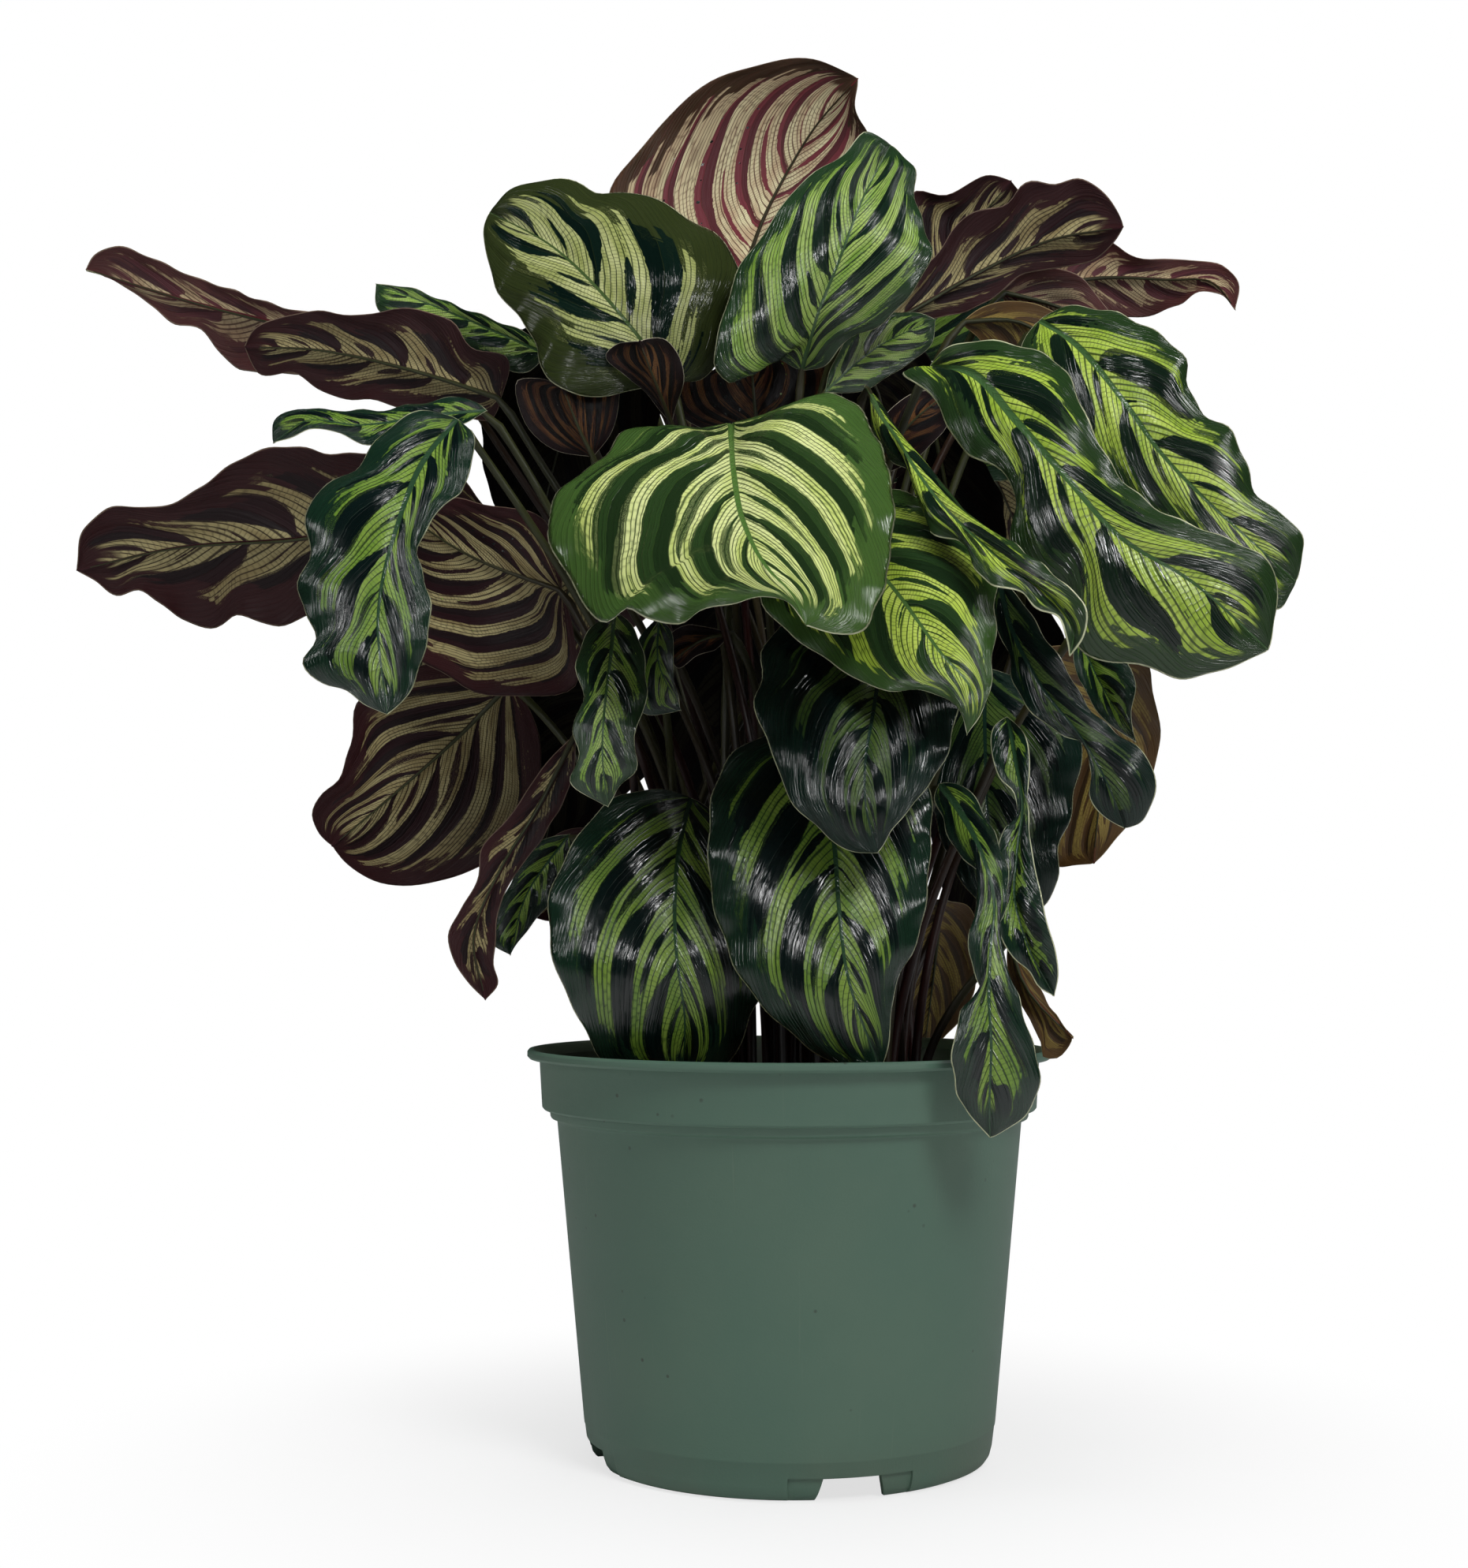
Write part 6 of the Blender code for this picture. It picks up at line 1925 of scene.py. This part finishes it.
@dataclass
class Soil:
    """The potting soil: a plug with an uneven top, strewn with bark, fibre and pale grains."""

    earth: Colour = tint(52, 38, 28)
    damp: Colour = tint(30, 22, 18)
    crumb: Colour = tint(84, 64, 46)
    bark: Colour = tint(104, 74, 50)
    grain: Colour = tint(206, 200, 184)
    grain_shade: Colour = tint(176, 168, 148)

    def earth_material(self) -> bpy.types.Material:
        """Dark peat in crumbs, with damp places and fine pale grains.

        Returns:
            The material.
        """
        material, nodes, shader = new_material("soil earth")
        place = nodes.place()
        crumbs = nodes.noise(place, CRUMBS, 6.0)
        cloud = nodes.noise(place, EARTH_CLOUDS, 3.0)
        pick = nodes.noise(place, EARTH_PICK, 0.0)
        colour = nodes.mix(nodes.step(crumbs, 0.35, 0.7), self.earth, self.crumb)
        colour = nodes.mix(nodes.step(cloud, 0.5, 0.8) * 0.5, colour, self.damp)
        cells = nodes.cells(place, EARTH_CELLS)
        grains = (1.0 - nodes.step(cells, 0.14, 0.22)) * nodes.step(pick, 0.6, 0.64)
        colour = nodes.mix(grains * 0.8, colour, self.grain)
        nodes.dress(shader, colour, crumbs.between(0.75, 0.95), Relief(crumbs, 1.0, 1.5 * MM))
        return material

    def plain(self, name: str, colour: Colour, other: Colour) -> bpy.types.Material:
        """A rough finish that runs between two colours, for bark or for pale grains.

        Args:
            name: the material's name.
            colour, other: the two colours.

        Returns:
            The material.
        """
        material, nodes, shader = new_material(name)
        cloud = nodes.noise(nodes.place(), CHIP_CLOUDS, 4.0)
        mixed = nodes.mix(nodes.step(cloud, 0.3, 0.7), colour, other)
        nodes.dress(shader, mixed, cloud.between(0.7, 0.9), Relief(cloud, 0.8, MM))
        return material

    def top(self, radius: np.ndarray, turn: np.ndarray) -> np.ndarray:
        """The height of the soil's top: a sum of waves in many directions, each finer one lower.

        Args:
            radius, turn: the places, in polar form.

        Returns:
            The heights.
        """
        x, y = radius * np.cos(turn), radius * np.sin(turn)
        draw = np.random.default_rng(SOIL_SEED)
        height = np.zeros_like(x)
        for octave in range(SOIL_WAVES):
            length = SOIL_WAVE_LENGTH * SOIL_WAVE_STEP**octave
            way, lag = draw.uniform(0, FULL_TURN, 2)
            phase = FULL_TURN * (x * math.cos(way) + y * math.sin(way)) / length + lag
            height += length / SOIL_WAVE_LENGTH * np.sin(phase)
        return SOIL_TOP - SOIL_DIP + SOIL_WAVE_HEIGHT * height

    def build(self) -> bpy.types.Object:
        """Builds the soil and what is strewn on it.

        Returns:
            The finished piece.
        """
        turn = np.linspace(0, FULL_TURN, SOIL_SECTORS, endpoint=False)[None, :]
        radius = np.linspace(SOIL_SIDE[-1][0], SOIL_INNER_RING, SOIL_RINGS)[:, None] + 0 * turn
        heights = self.top(radius, turn + 0 * radius)
        top = np.stack([radius * np.cos(turn), radius * np.sin(turn), heights], axis=-1)
        wall, level = np.array(SOIL_SIDE[1:])[:, :1], np.array(SOIL_SIDE[1:])[:, 1:]
        side = np.stack([wall * np.cos(turn), wall * np.sin(turn), level + 0 * turn], axis=-1)
        rings = np.concatenate([side, top])
        middle = self.top(np.zeros(1), np.zeros(1))[0]
        points = np.vstack([rings.reshape(-1, 3), (0, 0, SOIL_SIDE[0][1]), (0, 0, middle)])
        faces = closed_faces(len(rings), SOIL_SECTORS)
        chip_points, chip_faces, chip_numbers = self.chips()
        numbers = np.concatenate([np.zeros(len(faces)), chip_numbers])
        materials = [
            self.earth_material(),
            self.plain("soil bark", self.bark, self.crumb),
            self.plain("soil grain", self.grain, self.grain_shade),
        ]
        faces += (chip_faces + len(points)).tolist()
        return add_piece("soil_fine", np.vstack([points, chip_points]), faces, materials, numbers)

    def chips(self) -> tuple[np.ndarray, np.ndarray, np.ndarray]:
        """Bark and pale grains: each is a squashed double cone with uneven corners, half sunk in the top.

        Returns:
            The corners, the faces and each face's material number.
        """
        draw = np.random.default_rng(SOIL_SEED + 1)
        count = CHIP_COUNT
        pale = draw.random(count) < GRAIN_SHARE
        long = np.where(pale, draw.uniform(*GRAIN_LENGTH, count), draw.uniform(*BARK_LENGTH, count))
        slim = np.where(pale, draw.uniform(*GRAIN_WIDTH, count), draw.uniform(*BARK_WIDTH, count))
        high = np.where(pale, long * GRAIN_HEIGHT, draw.uniform(*BARK_HEIGHT, count))
        radius = (SOIL_SIDE[-1][0] - CHIP_GAP) * np.sqrt(draw.random(count))
        turn = draw.uniform(0, FULL_TURN, count)
        spin = draw.uniform(0, FULL_TURN, count)
        around = np.linspace(0, FULL_TURN, CHIP_SIDES, endpoint=False)[None, :]
        uneven = draw.uniform(*CHIP_UNEVEN, (count, CHIP_SIDES))
        along = long[:, None] * np.cos(around) * uneven
        over = (long * slim)[:, None] * np.sin(around) * uneven
        tilt = draw.uniform(*CHIP_TILT, (count, CHIP_SIDES))
        ring = np.stack([along, over, tilt * high[:, None]], axis=-1)
        ends = np.stack([0 * high, 0 * high, high], axis=-1)[:, None]
        x, y, z = np.moveaxis(np.concatenate([ring, ends, -ends], axis=1), -1, 0)
        cos, sin = np.cos(spin)[:, None], np.sin(spin)[:, None]
        height = self.top(radius, turn) + high * CHIP_RISE
        centre = np.stack([radius * np.cos(turn), radius * np.sin(turn), height], axis=-1)
        points = np.stack([x * cos - y * sin, x * sin + y * cos, z], axis=-1) + centre[:, None]
        one = np.array(
            fan_faces(CHIP_SIDES, 0, CHIP_SIDES, False) + fan_faces(CHIP_SIDES + 1, 0, CHIP_SIDES, True)
        )
        faces = (one[None] + (np.arange(count) * (CHIP_SIDES + 2))[:, None, None]).reshape(-1, 3)
        numbers = np.repeat(np.where(pale, 2, 1), len(one))
        return points.reshape(-1, 3), faces, numbers


# The studio

class LampUse(Enum):
    """Which light a lamp gives: matte shading or mirrored glints."""

    DIFFUSE = "diffuse"
    GLOSS = "gloss"


@dataclass(frozen=True)
class Lamp:
    """A soft square light: where it is and what it is aimed at in metres, its side and its power in watts."""

    name: str
    place: tuple[float, float, float]
    target: tuple[float, float, float]
    side: float
    power: float
    use: LampUse = LampUse.DIFFUSE


LAMPS = (
    Lamp("key", (0.62, -1.2, 1.5), (0.0, 0.0, 0.38), 0.5, 20.0),
    Lamp("overhead", (-0.2, -0.35, 1.9), (0.0, 0.0, 0.4), 0.8, 16.0),
    Lamp("left", (-1.7, -0.7, 0.9), (0.0, 0.0, 0.35), 0.6, 3.5),
    Lamp("behind", (0.5, 1.6, 1.3), (0.0, 0.0, 0.45), 1.2, 10.0),
    Lamp("right", (1.6, 0.7, 0.9), (0.0, 0.0, 0.4), 0.8, 3.0),
    Lamp("left gloss", (-1.5, -0.55, 0.85), (0.0, 0.0, 0.4), 0.24, 3.0, LampUse.GLOSS),
    Lamp("right gloss", (1.35, -0.1, 1.45), (0.0, 0.0, 0.4), 0.3, 5.0, LampUse.GLOSS),
    Lamp("front gloss", (-0.42, -1.35, 0.62), (0.0, 0.0, 0.35), 0.2, 4.0, LampUse.GLOSS),
    Lamp("side gloss", (1.0, -1.15, 0.75), (0.0, 0.0, 0.5), 0.2, 8.0, LampUse.GLOSS),
    Lamp("upper gloss", (0.35, -1.1, 1.35), (0.0, 0.0, 0.4), 0.22, 4.0, LampUse.GLOSS),
)
WHITE = (1.0, 1.0, 1.0)


@dataclass
class Studio:
    """A pale floor, soft lights and the camera, with the floor's measures in metres."""

    lens: float = 52.2
    sensor: float = 36.0
    tilt: float = math.radians(93.6)
    turn: float = math.radians(1.37)
    lamps: tuple[Lamp, ...] = LAMPS
    dim: Colour = (0.022, 0.023, 0.025)
    floor_radius: float = 12.0
    floor_sides: int = 64
    floor_drop: float = 0.0004
    floor_dark: Colour = (0.78, 0.78, 0.78)
    floor_light: Colour = (0.82, 0.82, 0.82)
    floor_fade: tuple[float, float] = (0.08, 0.40)
    floor_glow: tuple[float, float] = (0.72, 1.0)

    def camera(self) -> bpy.types.Object:
        """The camera, at the place that the front leaves are drawn from.

        Returns:
            The camera.
        """
        data = bpy.data.cameras.new("camera")
        data.lens = self.lens
        data.sensor_width = self.sensor
        camera = bpy.data.objects.new("camera", data)
        camera.location = (0.0, -EYE_DISTANCE * MM, EYE_HEIGHT * MM)
        camera.rotation_euler = (self.tilt, 0.0, self.turn)
        bpy.context.scene.collection.objects.link(camera)
        bpy.context.scene.camera = camera
        return camera

    def light(self, lamp: Lamp) -> bpy.types.Object:
        """One soft light, turned to its target.

        Args:
            lamp: what it is and where.

        Returns:
            The light.
        """
        data = bpy.data.lights.new(lamp.name, "AREA")
        data.size = lamp.side
        data.energy = lamp.power
        made = bpy.data.objects.new(lamp.name, data)
        made.visible_diffuse = lamp.use is LampUse.DIFFUSE
        made.visible_glossy = lamp.use is LampUse.GLOSS
        x, y, z = np.subtract(lamp.target, lamp.place)
        made.location = lamp.place
        made.rotation_euler = (math.atan2(math.hypot(x, y), -z), 0.0, math.atan2(y, x) - math.pi / 2)
        bpy.context.scene.collection.objects.link(made)
        return made

    def world(self) -> None:
        """A world that is white where the camera sees it and dim as a light."""
        world = bpy.data.worlds.new("world")
        world.use_nodes = True
        nodes = Wiring(world.node_tree)
        shader = world.node_tree.nodes["Background"]
        nodes.feed(shader.inputs["Color"], nodes.mix(nodes.seen(), self.dim, WHITE))
        bpy.context.scene.world = world

    def floor(self) -> bpy.types.Object:
        """A wide pale disc that takes the pot's shadow and turns to white further out.

        Returns:
            Nothing, since the call that marks the disc as backdrop gives nothing back.
        """
        turn = np.linspace(0, FULL_TURN, self.floor_sides, endpoint=False)
        drop = np.full_like(turn, -self.floor_drop)
        points = np.column_stack([np.cos(turn) * self.floor_radius, np.sin(turn) * self.floor_radius, drop])
        material, nodes, shader = new_material("floor")
        place = nodes.place()
        x, y, _ = nodes.parts(place)
        far = nodes.step((x * x + y * y) ** 0.5, *self.floor_fade).between(*self.floor_glow)
        speck = nodes.noise(place, 300.0, 3.0)
        nodes.feed(shader.inputs["Base Color"], nodes.mix(speck, self.floor_dark, self.floor_light))
        shader.inputs["Roughness"].default_value = 0.9
        glow = nodes.node("ShaderNodeEmission", {"Color": WHITE}).outputs[0]
        mixed = nodes.node("ShaderNodeMixShader", {0: far * nodes.seen(), 1: shader.outputs[0], 2: glow})
        nodes.feed(material.node_tree.nodes["Material Output"].inputs["Surface"], mixed.outputs[0])
        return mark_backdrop(add_piece("floor", points / MM, [tuple(range(len(turn)))], [material]))

    def build(self) -> None:
        """Sets up the camera, the lights, the world and the floor."""
        self.camera()
        for lamp in self.lamps:
            self.light(lamp)
        self.world()
        self.floor()
        bpy.context.scene.view_settings.view_transform = "Standard"


def corners(box: tuple) -> list[list[float]]:
    """A box's two corners as plain lists."""
    return [list(corner) for corner in box]


def place_piece(piece: bpy.types.Object, node: str) -> None:
    """Lets a piece stand for its node, whose model piece it hides, and ride on the plant's one body, logging
    its triangles.

    Args:
        piece: the finished piece.
        node: the name of the node that it replaces.
    """
    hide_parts(node)
    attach(piece, "root")
    faces = sum(len(polygon.vertices) - 2 for polygon in piece.data.polygons)
    LOG.info("%s stands for %s with %d triangles", piece.name, node, faces)


def main() -> None:
    """Builds the plant's pieces in order, after the studio."""
    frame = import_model()
    model_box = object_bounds()
    Studio().build()
    place_piece(Pot().build(), "pot")
    place_piece(Soil().build(), "soil")
    finishes = Finishes()
    for number, drawing in enumerate(LEAVES):
        leaf = Leaf(drawing, number)
        piece = leaf.build(frame["nodes"][leaf.name], finishes)
        place_piece(piece, leaf.name)
    {"model": corners(model_box), "visual": corners(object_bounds())}


if __name__ == "__main__":
    logging.basicConfig(level=logging.INFO, format="%(message)s")
    main()
